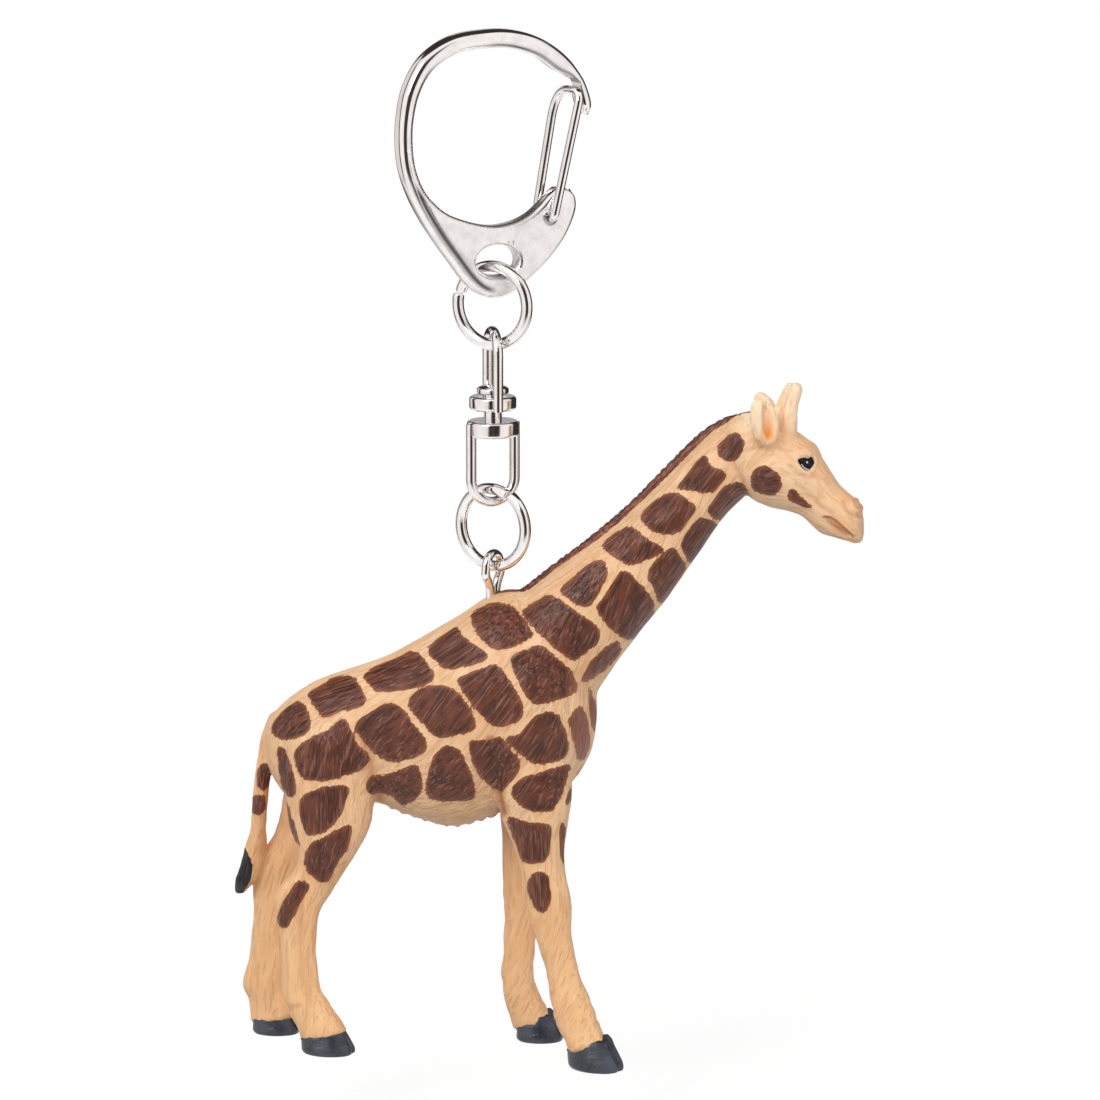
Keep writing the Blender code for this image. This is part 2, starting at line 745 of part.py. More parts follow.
def build_figure(finish):
    """The giraffe: lofts of its members, fused into one skin, with flat soles and a bore for the eye."""
    bm = bmesh.new()
    upright_loft(bm, TORSO_SHARES, 3, 28)
    neck_loft(bm)
    upright_loft(bm, HEAD_SHARES, 3, 20)
    for shares in (NEAR_HIND_SHARES, FAR_HIND_SHARES, NEAR_FRONT_SHARES, FAR_FRONT_SHARES):
        leg_loft(bm, shares)
    round_loft(bm, TAIL_SHARES)
    mane_loft(bm)
    for mirror in (1, -1):
        ear_loft(bm, mirror)
        round_loft(bm, HORN_SHARES, mirror)
    figure = mesh_object("giraffe_figure", bm, finish)
    skin = figure.modifiers.new("skin", "REMESH")
    skin.mode = "VOXEL"
    skin.voxel_size = SKIN_VOXEL
    skin.use_smooth_shade = True
    soften = figure.modifiers.new("soften", "SMOOTH")
    soften.factor = SKIN_SMOOTHING_SHARE
    soften.iterations = SKIN_SMOOTHINGS
    fewer = figure.modifiers.new("fewer faces", "DECIMATE")
    fewer.ratio = SKIN_FACES_SHARE
    boolean(figure, sole_cut(), "DIFFERENCE")
    boolean(figure, eye_bore(), "DIFFERENCE")


def sole_cut():
    """The cutter that leaves the soles flat on one plane."""
    bm = bmesh.new()
    bmesh.ops.create_cube(bm, size=1)
    made = mesh_object("sole cut", bm, smooth=False)
    made.scale = (FIGURE_HEIGHT, FIGURE_HEIGHT, FIGURE_HEIGHT / 2)
    made.location = (0, 0, SOLE_Z - FIGURE_HEIGHT / 4)
    return made


def eye_bore():
    """The cutter of the slot that takes the eye's two strands."""
    reach = EYE_WIRE + EYE_STRAND_GAP / 2 + SEAT_GAP
    half = EYE_WIRE / 2 + SEAT_GAP
    bottom = BACK_Z - EYE_DEPTH - SEAT_GAP
    top = BACK_Z + CUT_OVERRUN
    sections = []
    for z in (bottom, top):
        sections.append((Vector((0, 0, z)), Vector((reach, 0, 0)), Vector((0, half, 0))))
    bm = bmesh.new()
    loft(bm, sections, 24, power=4.0)
    made = mesh_object("eye bore", bm)
    made.rotation_euler = (0, 0, EYE_YAW)
    return made


def main():
    for old in list(bpy.data.objects):
        bpy.data.objects.remove(old)
    casting = material("nickel-plated casting", (0.72, 0.71, 0.70), 1.0, 0.28)
    build_hook(casting)
    build_gate(material("nickel-plated gate wire", (0.76, 0.75, 0.74), 1.0, 0.16))
    upper = material("nickel-plated upper ring", (0.75, 0.74, 0.73), 1.0, 0.18)
    build_ring("upper_jump_ring", UPPER_RING_Z, UPPER_RING_YAW, math.radians(165), upper)
    build_upper_yoke(material("nickel-plated upper yoke", (0.73, 0.72, 0.71), 1.0, 0.20))
    build_rivet(material("nickel-plated rivet", (0.74, 0.73, 0.72), 1.0, 0.22))
    build_lower_yoke(material("nickel-plated lower yoke", (0.73, 0.72, 0.71), 1.0, 0.21))
    lower = material("nickel-plated lower ring", (0.75, 0.74, 0.73), 1.0, 0.17)
    build_ring("lower_jump_ring", LOWER_RING_Z, LOWER_RING_YAW, math.radians(60), lower)
    build_eye(material("nickel-plated eye", (0.74, 0.73, 0.72), 1.0, 0.19))
    build_figure(material("peach PVC", (0.80, 0.56, 0.36), 0.0, 0.50))


main()
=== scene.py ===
"""Looks of the giraffe key ring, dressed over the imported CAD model.

The giraffe is one painted PVC moulding: lofts of its members are fused into one skin, relaxed, and then
pressed with muscles, creases, the face and combed hair. The metal pieces are swept sections of
nickel-plated casting and wire. Lengths are in metres, +X is the way the giraffe faces, +Y is its left
side and +Z is up. The giraffe's members are drawn in cells of a tenth of a millimetre, x ahead of the
eye wire and z above the soles.
"""

import math

import bmesh
import bpy
import numpy as np
from mathutils import Matrix, Vector


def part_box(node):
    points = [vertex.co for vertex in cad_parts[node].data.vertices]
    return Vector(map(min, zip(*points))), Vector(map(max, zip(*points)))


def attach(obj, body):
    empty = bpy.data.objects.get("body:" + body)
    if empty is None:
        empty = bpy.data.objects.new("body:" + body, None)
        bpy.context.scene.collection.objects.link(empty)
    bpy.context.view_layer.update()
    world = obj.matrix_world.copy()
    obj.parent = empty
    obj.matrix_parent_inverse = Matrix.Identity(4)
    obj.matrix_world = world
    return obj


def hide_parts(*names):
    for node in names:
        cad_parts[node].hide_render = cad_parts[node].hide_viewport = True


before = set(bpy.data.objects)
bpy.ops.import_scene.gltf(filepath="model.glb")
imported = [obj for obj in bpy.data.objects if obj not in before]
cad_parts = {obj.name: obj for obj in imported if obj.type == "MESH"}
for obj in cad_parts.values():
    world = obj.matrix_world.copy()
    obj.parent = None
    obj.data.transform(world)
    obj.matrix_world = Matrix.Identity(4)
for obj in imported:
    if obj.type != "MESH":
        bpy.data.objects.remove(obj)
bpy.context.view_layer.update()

MM = 0.001

# The giraffe's cells: their size, and where x and z are 0
CELL = 0.0001
AHEAD = 0.0003
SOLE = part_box("giraffe_figure")[0].z

# The picture: its width and the lens in pixels, where the camera stands and what it points at
PICTURE_WIDTH = 1100
LENS_PIXELS = 6400
SENSOR_MM = 36
CAMERA_DISTANCE = 0.800
CAMERA_AZIMUTH = math.radians(10)
CAMERA_ELEVATION = math.radians(10)
CAMERA_TARGET = np.array([0.00724, 0.0, -0.062650])
PAINT_TARGET = np.array([0.00724, 0.0, -0.062485])

# Torso: x, top, bottom, half width
TORSO = (
    (-294, 408, 376, 12), (-284, 428, 345, 32), (-265, 447, 322, 44), (-235, 468, 308, 55),
    (-195, 485, 308, 63), (-150, 502, 318, 70), (-100, 528, 302, 80), (-50, 559, 293, 90), (0, 591, 308, 93),
    (40, 592, 321, 91), (80, 566, 338, 80), (105, 536, 362, 63), (121, 505, 392, 38), (128, 470, 425, 9),
)

# Neck: x, z, half depth, half width
NECK = (
    (40, 480, 80, 72), (86, 536, 74, 66), (136, 590, 64, 55), (180, 633, 55, 47), (221, 680, 47, 43),
    (260, 727, 42, 40), (294, 763, 43, 41), (322, 786, 36, 38),
)

# Head: x, top, bottom, half width
HEAD = (
    (286, 800, 750, 17), (298, 822, 733, 35), (320, 830, 723, 45), (345, 828, 712, 49), (370, 813, 707, 48),
    (388, 800, 701, 44), (400, 790, 690, 39), (412, 772, 680, 34), (430, 744, 675, 30), (445, 730, 671, 28),
    (457, 720, 667, 24), (463, 704, 672, 13),
)

# Legs: x, y, z, half length, half width
NEAR_HIND = (
    (-200, -34, 410, 62, 31), (-204, -42, 336, 57, 30), (-204, -46, 296, 51, 28), (-207, -48, 261, 37, 25),
    (-218, -46, 236, 32, 22), (-239, -45, 206, 35, 19), (-247, -45, 181, 28, 17), (-246, -45, 136, 23, 15),
    (-243, -45, 90, 24, 15), (-236, -46, 66, 28, 18), (-224, -46, 46, 30, 20), (-215, -46, 30, 31, 23),
    (-207, -46, 6, 34, 26), (-207, -46, -20, 33, 25),
)
FAR_HIND = (
    (-215, 34, 410, 58, 31), (-225, 42, 336, 54, 30), (-238, 46, 296, 48, 28), (-253, 48, 262, 42, 25),
    (-276, 46, 236, 37, 22), (-289, 45, 214, 35, 19), (-296, 45, 190, 28, 17), (-303, 45, 140, 23, 15),
    (-306, 45, 100, 24, 15), (-310, 45, 64, 30, 18), (-302, 46, 44, 30, 20), (-298, 46, 28, 31, 23),
    (-296, 46, 6, 33, 26), (-296, 46, -20, 32, 25),
)
NEAR_FRONT = (
    (45, -38, 410, 58, 38), (55, -48, 345, 50, 36), (63, -54, 296, 36, 27), (70, -58, 256, 28, 22),
    (79, -60, 216, 27, 21), (83, -61, 176, 24, 17), (92, -62, 141, 21, 15), (101, -63, 106, 22, 16),
    (111, -64, 71, 26, 19), (120, -65, 49, 27, 20), (129, -66, 32, 27, 23), (138, -67, 6, 29, 25),
    (139, -67, -20, 28, 24),
)
FAR_FRONT = (
    (40, 38, 410, 54, 38), (38, 48, 345, 46, 36), (30, 54, 296, 34, 27), (26, 58, 256, 28, 22),
    (24, 60, 216, 26, 21), (23, 61, 176, 24, 17), (19, 62, 130, 20, 15), (17, 63, 86, 21, 16),
    (20, 64, 62, 23, 19), (28, 65, 42, 25, 21), (35, 66, 26, 27, 23), (41, 67, 6, 28, 24),
    (41, 67, -20, 27, 23),
)

# Tail: x, y, z, radius
TAIL = (
    (-278, 0, 424, 14), (-291, 0, 396, 11), (-297, 1, 368, 10), (-302, 4, 338, 10), (-307, 10, 302, 10),
    (-312, 18, 268, 11), (-317, 26, 242, 14), (-324, 27, 216, 14), (-332, 26, 202, 11), (-337, 26, 191, 7),
    (-338, 25, 185, 3),
)

# Ear on the near side, from base to tip: x, y, z, half width, half thickness
EAR = (
    (350, -40, 790, 11, 9), (348, -46, 806, 17, 11), (346, -49, 824, 19, 9), (344, -51, 840, 16, 8),
    (340, -52, 849, 10, 6), (338, -53, 854, 4, 3),
)
EAR_TURN = 25

# Horns, from base to tip: x, y, z, radius
NEAR_HORN = (
    (368, -16, 790, 17), (370, -16, 805, 13), (373, -17, 828, 10), (375, -17, 843, 9), (378, -17, 854, 9),
    (380, -17, 863, 9), (381, -17, 870, 6),
)
FAR_HORN = (
    (352, 16, 800, 15), (355, 16, 818, 12), (359, 17, 834, 9), (364, 17, 846, 8), (368, 17, 855, 8),
    (370, 17, 864, 5),
)

# The far ear stands a little lower: x and z in cells
FAR_EAR_SHIFT = (-12, -7)

# Mane: x, z, height over the neck, half thickness
MANE = (
    (8, 591, 3, 7), (26, 595, 7, 9), (46, 604, 12, 9), (82, 632, 14, 8), (128, 668, 14, 8),
    (178, 712, 14, 7), (228, 764, 14, 7), (268, 804, 14, 7), (300, 824, 12, 7), (322, 826, 8, 7),
)

# Hooves: x, y, half length, half width, turn in degrees, heights at the toe and the heel, lean at the top
HOOVES = (
    ("near_hind", -206, -46, 34, 28, -6, 33, 19, 13), ("far_hind", -294, 46, 31, 26, 4, 27, 18, 8),
    ("near_front", 142, -67, 36, 28, -22, 40, 22, 16), ("far_front", 46, 67, 31, 27, 6, 36, 17, 12),
)

# A hoof's wall from the sole up: share of its height, share of its footprint
HOOF_WALL = (
    (0.00, 0.80), (0.035, 0.91), (0.12, 0.975), (0.26, 1.00), (0.45, 0.975), (0.68, 0.93), (0.90, 0.885),
    (1.00, 0.865), (1.06, 0.80), (1.04, 0.66), (0.98, 0.40),
)

# Brown spots, as outlines in picture pixels on the near side
SPOTS = (
    ((270, 728), (277, 715), (290, 705), (302, 704), (311, 718), (311, 730), (305, 738), (290, 741),
     (278, 739)),
    ((307, 693), (320, 685), (340, 678), (352, 678), (359, 686), (366, 700), (362, 708), (345, 712),
     (326, 719), (318, 712)),
    ((364, 677), (375, 668), (395, 660), (412, 653), (420, 656), (429, 667), (434, 678), (428, 685),
     (405, 691), (380, 693), (370, 687)),
    ((429, 649), (440, 638), (456, 628), (463, 638), (487, 655), (481, 663), (462, 668), (446, 670),
     (430, 657)),
    ((471, 618), (478, 610), (500, 604), (516, 611), (525, 623), (533, 637), (520, 645), (503, 651),
     (490, 648), (478, 636)),
    ((523, 612), (540, 601), (552, 597), (582, 617), (597, 628), (600, 640), (592, 650), (575, 661),
     (562, 655), (545, 640), (530, 625)),
    ((561, 591), (575, 577), (590, 565), (603, 562), (607, 575), (600, 592), (590, 607), (580, 607),
     (570, 601)),
    ((597, 609), (605, 597), (615, 580), (625, 572), (640, 585), (652, 600), (654, 615), (648, 630),
     (632, 641), (620, 637), (606, 625)),
    ((581, 680), (590, 665), (605, 650), (617, 643), (621, 652), (614, 663), (600, 676), (585, 683)),
    ((510, 660), (525, 652), (540, 647), (552, 655), (566, 667), (575, 680), (573, 695), (542, 705),
     (530, 702), (520, 685)),
    ((458, 684), (468, 675), (482, 670), (492, 666), (500, 669), (511, 684), (520, 700), (523, 712),
     (518, 722), (500, 728), (490, 725), (475, 710)),
    ((408, 702), (420, 690), (440, 687), (455, 692), (467, 706), (475, 722), (472, 732), (440, 739),
     (425, 727), (412, 713)),
    ((356, 725), (370, 713), (388, 704), (402, 710), (413, 725), (425, 740), (425, 752), (410, 760),
     (392, 764), (375, 755), (360, 738)),
    ((297, 752), (308, 742), (325, 735), (343, 720), (351, 730), (358, 745), (369, 758), (365, 768),
     (345, 777), (325, 782), (305, 780), (297, 768)),
    ((366, 786), (371, 778), (385, 776), (400, 771), (416, 766), (421, 776), (422, 790), (416, 800),
     (403, 807), (390, 797), (370, 795)),
    ((427, 795), (428, 775), (435, 757), (446, 747), (458, 751), (467, 765), (475, 788), (471, 801),
     (440, 802)),
    ((470, 742), (490, 742), (500, 738), (510, 749), (520, 762), (518, 775), (508, 787), (500, 794),
     (489, 786), (478, 775), (471, 758)),
    ((506, 740), (520, 734), (533, 719), (545, 713), (557, 716), (564, 730), (568, 743), (566, 757),
     (550, 764), (536, 765), (522, 755)),
    ((512, 792), (520, 781), (535, 775), (555, 769), (570, 766), (567, 780), (556, 808), (545, 813),
     (530, 812), (518, 803)),
    ((508, 819), (528, 823), (550, 827), (551, 842), (547, 859), (540, 864), (524, 863), (515, 845)),
    ((528, 888), (532, 876), (540, 873), (548, 877), (551, 895), (549, 908), (541, 914), (533, 906)),
    ((569, 725), (573, 713), (580, 708), (586, 716), (590, 735), (589, 750), (583, 761), (577, 759),
     (574, 745)),
    ((589, 690), (593, 698), (597, 715), (598, 735), (592, 728), (589, 710)),
    ((566, 800), (573, 785), (582, 768), (590, 762), (580, 785), (568, 806)),
    ((560, 826), (565, 828), (568, 845), (567, 866), (562, 860)),
    ((301, 801), (315, 791), (330, 787), (348, 788), (345, 805), (338, 820), (325, 833), (308, 836),
     (301, 822)),
    ((278, 750), (284, 749), (291, 762), (296, 785), (295, 797), (288, 797), (282, 785), (279, 765)),
    ((285, 800), (288, 806), (293, 820), (298, 838), (300, 846), (296, 842), (290, 828), (286, 812)),
    ((305, 857), (312, 844), (325, 838), (340, 829), (351, 827), (348, 845), (338, 865), (325, 884),
     (312, 877), (305, 868)),
    ((277, 918), (283, 903), (292, 890), (300, 882), (309, 888), (303, 900), (295, 915), (287, 929),
     (278, 926)),
    ((603, 549), (610, 539), (625, 529), (635, 530), (644, 538), (663, 550), (655, 558), (630, 566),
     (618, 560)),
    ((641, 519), (650, 506), (662, 497), (675, 494), (688, 501), (696, 510), (688, 522), (680, 532),
     (668, 536), (652, 532)),
    ((678, 489), (687, 475), (698, 461), (705, 457), (711, 467), (726, 475), (720, 487), (710, 494),
     (692, 492)),
    ((717, 450), (723, 441), (735, 434), (742, 438), (744, 448), (738, 460), (729, 463), (720, 458)),
    ((707, 513), (715, 501), (722, 490), (738, 483), (747, 492), (750, 501), (740, 503), (730, 511),
     (721, 522)),
    ((681, 546), (688, 531), (701, 519), (719, 528), (710, 545), (692, 564), (686, 558)),
    ((648, 577), (655, 563), (672, 549), (681, 559), (686, 570), (678, 583), (664, 603), (658, 602),
     (655, 592)),
    ((751, 482), (754, 472), (762, 467), (773, 470), (781, 480), (780, 491), (772, 496), (761, 495),
     (753, 490)),
    ((788, 496), (790, 490), (795, 491), (801, 498), (811, 507), (808, 510), (798, 506), (789, 501)),
)

# Other paint and the face's parts, as outlines, a line and a point in picture pixels on the near side
TAIL_BANDS = (
    ((259, 768), (266, 765), (271, 771), (271, 784), (265, 791), (258, 787)),
    ((252, 800), (258, 796), (265, 798), (265, 809), (260, 816), (252, 813)),
)
TAIL_TUFT = (
    (232, 846), (243, 847), (250, 857), (253, 867), (252, 877), (246, 890), (238, 902), (228, 898),
    (228, 870),
)
EYE_OUTLINE = (
    (798, 461), (803.5, 458.6), (808, 459.5), (811.5, 458), (814, 461.7), (813.7, 466), (809, 472.5),
    (803.5, 470.7), (799.3, 465.3),
)
# The eye's painted highlight, a small glint.
EYE_GLINT = (806, 464)
EAR_HOLLOW = ((763, 409), (768, 405), (773, 413), (775, 428), (773, 440), (768, 442), (763, 432))
MOUTH = ((824, 519), (830, 520), (838, 525), (846, 532), (853, 539))
MOUTH_GAPE = ((825, 519), (833, 520), (842, 528), (851, 537), (846, 538), (836, 532), (828, 526))

# The nostril's raised rim: centre, radius and width in picture pixels, rise in mm
NOSTRIL_RIM = (856.5, 507, 5.0, 2.0, 0.34)

# Creases pressed into the near side: depth in mm, width in pixels, and the line in picture pixels
CREASES = (
    (0.22, 5.0, ((362, 738), (368, 758), (372, 780), (380, 800))),
    (0.36, 4.5, ((490, 742), (495, 760), (497, 788), (503, 814))),
    (0.14, 3.0, ((734, 466), (742, 482), (748, 500))),
    (0.18, 2.0, ((853, 503), (856, 501), (860, 503), (861, 507), (859, 510))),
    (0.14, 2.0, ((843, 503), (846, 511), (852, 516), (860, 518))),
    (0.10, 2.5, ((797, 486), (808, 494), (822, 508), (832, 514))),
    (0.10, 2.0, ((790, 466), (796, 472), (806, 479), (814, 478))),
    (0.08, 2.0, ((742, 452), (756, 450), (774, 449), (790, 452))),
    (0.12, 2.2, ((253, 1013), (275, 1011), (300, 1007))),
    (0.10, 2.0, ((513, 1019), (532, 1020), (552, 1010))),
    (0.10, 3.0, ((305, 880), (301, 925), (303, 975), (312, 1005))),
)

# Muscles and hollows on the near side: centre and radii in picture pixels, turn in degrees, rise in mm
MUSCLES = (
    (322, 745, 40, 46, 0, 0.55), (330, 812, 26, 40, 15, 0.30), (392, 745, 16, 40, -10, -0.30),
    (533, 700, 26, 62, -12, 0.40), (528, 778, 26, 34, 10, 0.50), (470, 700, 30, 60, 10, -0.12),
    (600, 655, 20, 26, 40, -0.20), (774, 480, 20, 15, 0, 0.30), (804, 453, 13, 5, 5, 0.30),
    (790, 440, 10, 10, 0, -0.15), (818, 488, 16, 5, -50, 0.16), (842, 512, 14, 9, -45, 0.10),
    (540, 900, 15, 24, 5, 0.16), (297, 905, 16, 24, 25, 0.20), (555, 1000, 14, 18, 0, 0.12),
    (306, 990, 16, 18, 0, 0.14), (845, 529, 9, 4, -38, 0.14),
)

# Orange tints on the face: picture pixel, half sizes in pixels and share
WARM_PLACES = (
    (806, 447, 16, 5, 0.30), (824, 470, 12, 18, 0.22), (846, 498, 12, 10, 0.30), (840, 528, 8, 5, 0.45),
    (783, 428, 8, 14, 0.25), (856.5, 507, 2.2, 2.4, 0.42),
)

# The way the hair is combed: picture pixel and angle over the level, in degrees
HAIR = (
    (300, 700, 22), (330, 690, 20), (400, 670, 20), (450, 650, 36), (500, 625, 52), (560, 625, 65),
    (620, 600, 70), (290, 765, 78), (330, 750, 82), (390, 735, 47), (440, 705, 52), (500, 695, 50),
    (545, 680, 58), (540, 745, 55), (582, 735, 84), (490, 765, 55), (455, 785, 45), (395, 785, 45),
    (440, 815, 25), (325, 810, 90), (288, 830, 97), (340, 850, 76), (292, 905, 66), (335, 920, 82),
    (300, 980, 86), (540, 800, 50), (530, 840, 92), (540, 895, 90), (560, 960, 70), (580, 1010, 64),
    (515, 930, 62), (520, 990, 60), (265, 900, 72), (270, 970, 90), (255, 780, 84), (250, 850, 78),
    (640, 560, 66), (690, 500, 64), (735, 450, 56), (690, 450, 42), (600, 535, 38), (650, 500, 44),
    (540, 580, 30), (760, 482, 20), (775, 495, 0), (800, 440, -60), (795, 485, -25), (830, 500, -40),
    (855, 520, -38), (770, 420, 88), (790, 400, 80), (745, 470, 60), (590, 700, 84), (700, 560, 58),
    (650, 620, 60),
)

# Hair pressed into the skin, in mm: length, spacing, place in the noise, depth, and more depth on the legs
HAIR_RELIEF = ((4.2, 1.05, 0.0, 0.16, 0.10), (3.0, 0.62, 17.3, 0.13, 0.05))

# The hair noise is drawn out along this many directions; a direction fades out where the next one is
HAIR_WAYS = 10
HAIR_FADE = math.cos(math.tau / HAIR_WAYS)

# Each direction's noise is read this much further on
NOISE_STEP = 7.7

# The skin's voxels and the locks of the mane and of the belly's fringe, each so wide in mm
SKIN_VOXEL = 0.38
MANE_LOCK = 1.12
BELLY_LOCK = 1.45

# The face's part of the skin, whose faces are cut once more: it starts at this x and z, in cells
FACE_FROM = (300, 670)

# Snap hook, from its nose round the top and down to the heel: outer x and z, inner x and z, in mm
HOOK_EDGES = (
    (12.98, -8.75, 12.10, -8.60), (13.25, -7.25, 11.50, -6.95), (12.74, -5.45, 10.92, -5.05),
    (11.90, -3.75, 10.05, -3.95), (9.75, -1.10, 8.30, -3.00), (6.35, 1.12, 5.50, -1.12),
    (2.50, 2.30, 2.14, -0.07), (-1.40, 2.45, -1.18, 0.06), (-5.90, 1.78, -5.18, -0.45),
    (-9.75, -0.55, -8.32, -2.22), (-12.02, -4.20, -10.18, -5.02), (-12.90, -8.20, -11.10, -8.55),
    (-12.97, -12.10, -11.16, -12.00), (-12.45, -15.20, -10.70, -14.60), (-11.35, -18.10, -9.55, -17.15),
    (-9.75, -20.95, -8.00, -18.95), (-7.85, -23.75, -6.30, -20.20), (-5.80, -26.45, -4.50, -20.95),
    (-4.00, -28.75, -2.90, -21.45), (-2.10, -30.40, -1.30, -21.80), (0.00, -31.00, 0.25, -21.91),
    (2.20, -30.55, 1.75, -21.75), (4.55, -28.95, 3.30, -21.35), (7.40, -26.50, 4.90, -20.60),
    (9.60, -23.85, 6.30, -19.50), (10.95, -21.10, 7.50, -18.35), (11.15, -19.35, 8.35, -17.70),
    (10.55, -17.95, 9.10, -17.50),
)
HOOK_YAW = 36

# Half the casting's thickness, and the radius of its edges on the plate and on the bow, in mm
HOOK_HALF_THICKNESS = 1.40
HOOK_CORNER = 0.78
BOW_CORNER = 1.12

# Where the face's points lie, from the rounded edge inwards
EDGE_STEPS = (0.06, 0.14, 0.24, 0.36, 0.50, 0.66, 0.86, 1.10)

# The valley beside the plate's rounded left edge: its way along the edge, distance from it, width and depth
# Along the valley the plate is also painted dark: painted dark reflection and shade.
VALLEY_ROWS = slice(13, 20)
VALLEY = (1.05, 0.34, 0.20)

# Painted shade under the bow's face: its way along the inner edge, distance from it and width
RECESS_ROWS = slice(1, 9)
RECESS = (0.42, 0.20)

# The ring's hole, the gate's heel holes and top corners, and the notch: places as x and z in the hook, in mm
HOLE_CENTRE = (0.22, -26.20)
HOLE_HALF_WIDTH = 2.95
HOLE_HALF_HEIGHT = 1.90
HOLE_FLARE = 0.45
WEB_ROUNDING = 0.42
HEEL_HOLE_RADIUS = 1.00
NEAR_HEEL = (7.40, -21.285)
FAR_HEEL = (7.22, -20.394)
NEAR_GATE_TOP = (11.11, -5.544)
FAR_GATE_TOP = (9.87, -5.544)
NOTCH = (10.32, -5.214)
NOTCH_RADIUS = 1.35

# The other metal pieces, in mm and degrees as in the CAD; a ring's turn comes before its split's place
WIRE_SIDES = 40
GATE_WIRE = 1.10
GATE_SIDE = 2.25
GATE_END = 0.35
GATE_ARCH = (1.6, 3.8)
RING_OUTER = 11.25
RING_WIRE = 1.45
RING_SPLIT = 0.30
RING_STEP = 0.40
UPPER_RING = (-20, 165)
LOWER_RING = (-26, 60)
YOKE_WIRE = 1.30
YOKE_SPACING = 6.00
YOKE_SINK = 0.35
UPPER_YAW = -67
LOWER_YAW = 36
DISC_RADIUS = 2.95
LOWER_DISC_RADIUS = 3.25
DISC_HEIGHT = 2.00
UPPER_DISC_HEIGHT = 1.75
DISC_EDGE = 0.42
PIN_RADIUS = 1.125
PIN_DEPTH = 1.40
RIVET_HEAD_RADIUS = 2.00
RIVET_RIM = 0.50
RIVET_CHAMFER = 0.12
RIVET_DOME = 1.15
RIVET_GAP = 0.30
EYE_WIRE = 1.10
EYE_WIDTH = 4.60
EYE_YAW = 70
STRAND_GAP = 0.30
STRAND_DROP = 5.50

# What metal mirrors, round the key ring: degrees to the right of the camera, and colour
WALLS = (
    (-180, 1.00, 1.00, 1.00), (-171, 1.00, 1.00, 1.00), (-168, 0.03, 0.025, 0.02), (-147, 0.04, 0.03, 0.03),
    (-140, 0.80, 0.74, 0.72), (-124, 0.76, 0.70, 0.68), (-117, 0.04, 0.03, 0.03), (-102, 0.05, 0.04, 0.035),
    (-94, 0.94, 0.89, 0.88), (-60, 1.00, 0.98, 0.97), (-26, 0.92, 0.87, 0.85), (-18, 0.03, 0.024, 0.02),
    (3, 0.06, 0.046, 0.04), (15, 0.025, 0.02, 0.018), (29, 0.05, 0.04, 0.035), (36, 0.94, 0.89, 0.88),
    (60, 1.00, 0.98, 0.97), (96, 0.88, 0.83, 0.81), (105, 0.04, 0.03, 0.03), (167, 0.03, 0.025, 0.02),
    (172, 1.00, 1.00, 1.00),
)

# The middle of the dark part overhead that metal mirrors along its upper edges
DARK_CANOPY = (-0.07, 0.42, 0.905)

# Lamps: place, size, power and whether metal mirrors them; all point at one place
LAMP_TARGET = (0.0, 0.0, -0.07)
LAMPS = (
    ("key", (-0.35, -0.80, 0.55), 0.50, 5.0, True), ("fill", (0.60, -0.60, 0.05), 0.50, 1.6, False),
    ("rear", (-0.2, 0.9, 0.5), 0.60, 2.2, False),
)


# ---------------------------------------------------------------- shapes

def smooth_rows(rows, steps, closed=False):
    """Catmull-Rom: each row b is followed by steps - 1 rows on the cubic through a, b, c and d."""
    rows = np.asarray(rows, float)
    if closed:
        padded = np.vstack([rows[-1:], rows, rows[:2]])
    else:
        padded = np.vstack([2 * rows[:1] - rows[1:2], rows, 2 * rows[-1:] - rows[-2:-1]])
    count = len(padded) - 3
    a, b, c, d = (padded[i:i + count, None] for i in range(4))
    t = (np.arange(steps) / steps)[None, :, None]
    found = b + (c - a) * t / 2 + (2 * a - 5 * b + 4 * c - d) * t ** 2 / 2
    found = found + (3 * b - a - 3 * c + d) * t ** 3 / 2
    found = found.reshape(-1, rows.shape[1])
    return found if closed else np.vstack([found, rows[-1:]])


def unit(vectors):
    """Each vector divided by its length."""
    return vectors / np.maximum(np.linalg.norm(vectors, axis=-1, keepdims=True), 1e-12)


def tangents(points, closed=False):
    """The direction of a path at each point, from the point before to the point after."""
    if closed:
        return unit(np.roll(points, -1, 0) - np.roll(points, 1, 0))
    return unit(np.vstack([points[1:2] - points[:1], points[2:] - points[:-2], points[-1:] - points[-2:-1]]))


def round_angles(sides):
    """The angles of points about a section, half a step from 0."""
    return (np.arange(sides) + 0.5) * math.tau / sides


def superellipse(angle, power, other_power):
    """c and s, the cosine and sine to the power 2 / p with their signs, each with its own p."""
    c, s = np.cos(angle), np.sin(angle)
    return np.sign(c) * np.abs(c) ** (2 / power), np.sign(s) * np.abs(s) ** (2 / other_power)


def bell(values, width):
    """e to the power of minus the square of values over width: 1 at 0, and fading to both sides."""
    return np.exp(-(values / width) ** 2)


def cos_sin(degrees):
    """The cosine and sine of an angle in degrees."""
    return math.cos(math.radians(degrees)), math.sin(math.radians(degrees))


def swept(centres, across, along, sides, power=2.0):
    """Rings about centres: centre + c across + s along, where c and s go round |c|^p + |s|^p = 1."""
    c, s = superellipse(round_angles(sides), power, power)
    return centres[:, None] + c[None, :, None] * across[:, None] + s[None, :, None] * along[:, None]


def closed_faces(rings, sides, first):
    """Quads between the rings, and a fan of triangles from a pole to each end ring."""
    i = np.arange(rings - 1)[:, None] * sides
    j = np.arange(sides)[None, :]
    after = (j + 1) % sides
    quads = np.stack([i + j, i + after, i + sides + after, i + sides + j], -1).reshape(-1, 4) + first
    pole = first + rings * sides
    j = np.arange(sides)
    after = (j + 1) % sides
    start = np.stack([np.full(sides, pole), after + first, j + first], -1)
    last = first + (rings - 1) * sides
    end = np.stack([np.full(sides, pole + 1), j + last, after + last], -1)
    return quads.tolist() + start.tolist() + end.tolist()


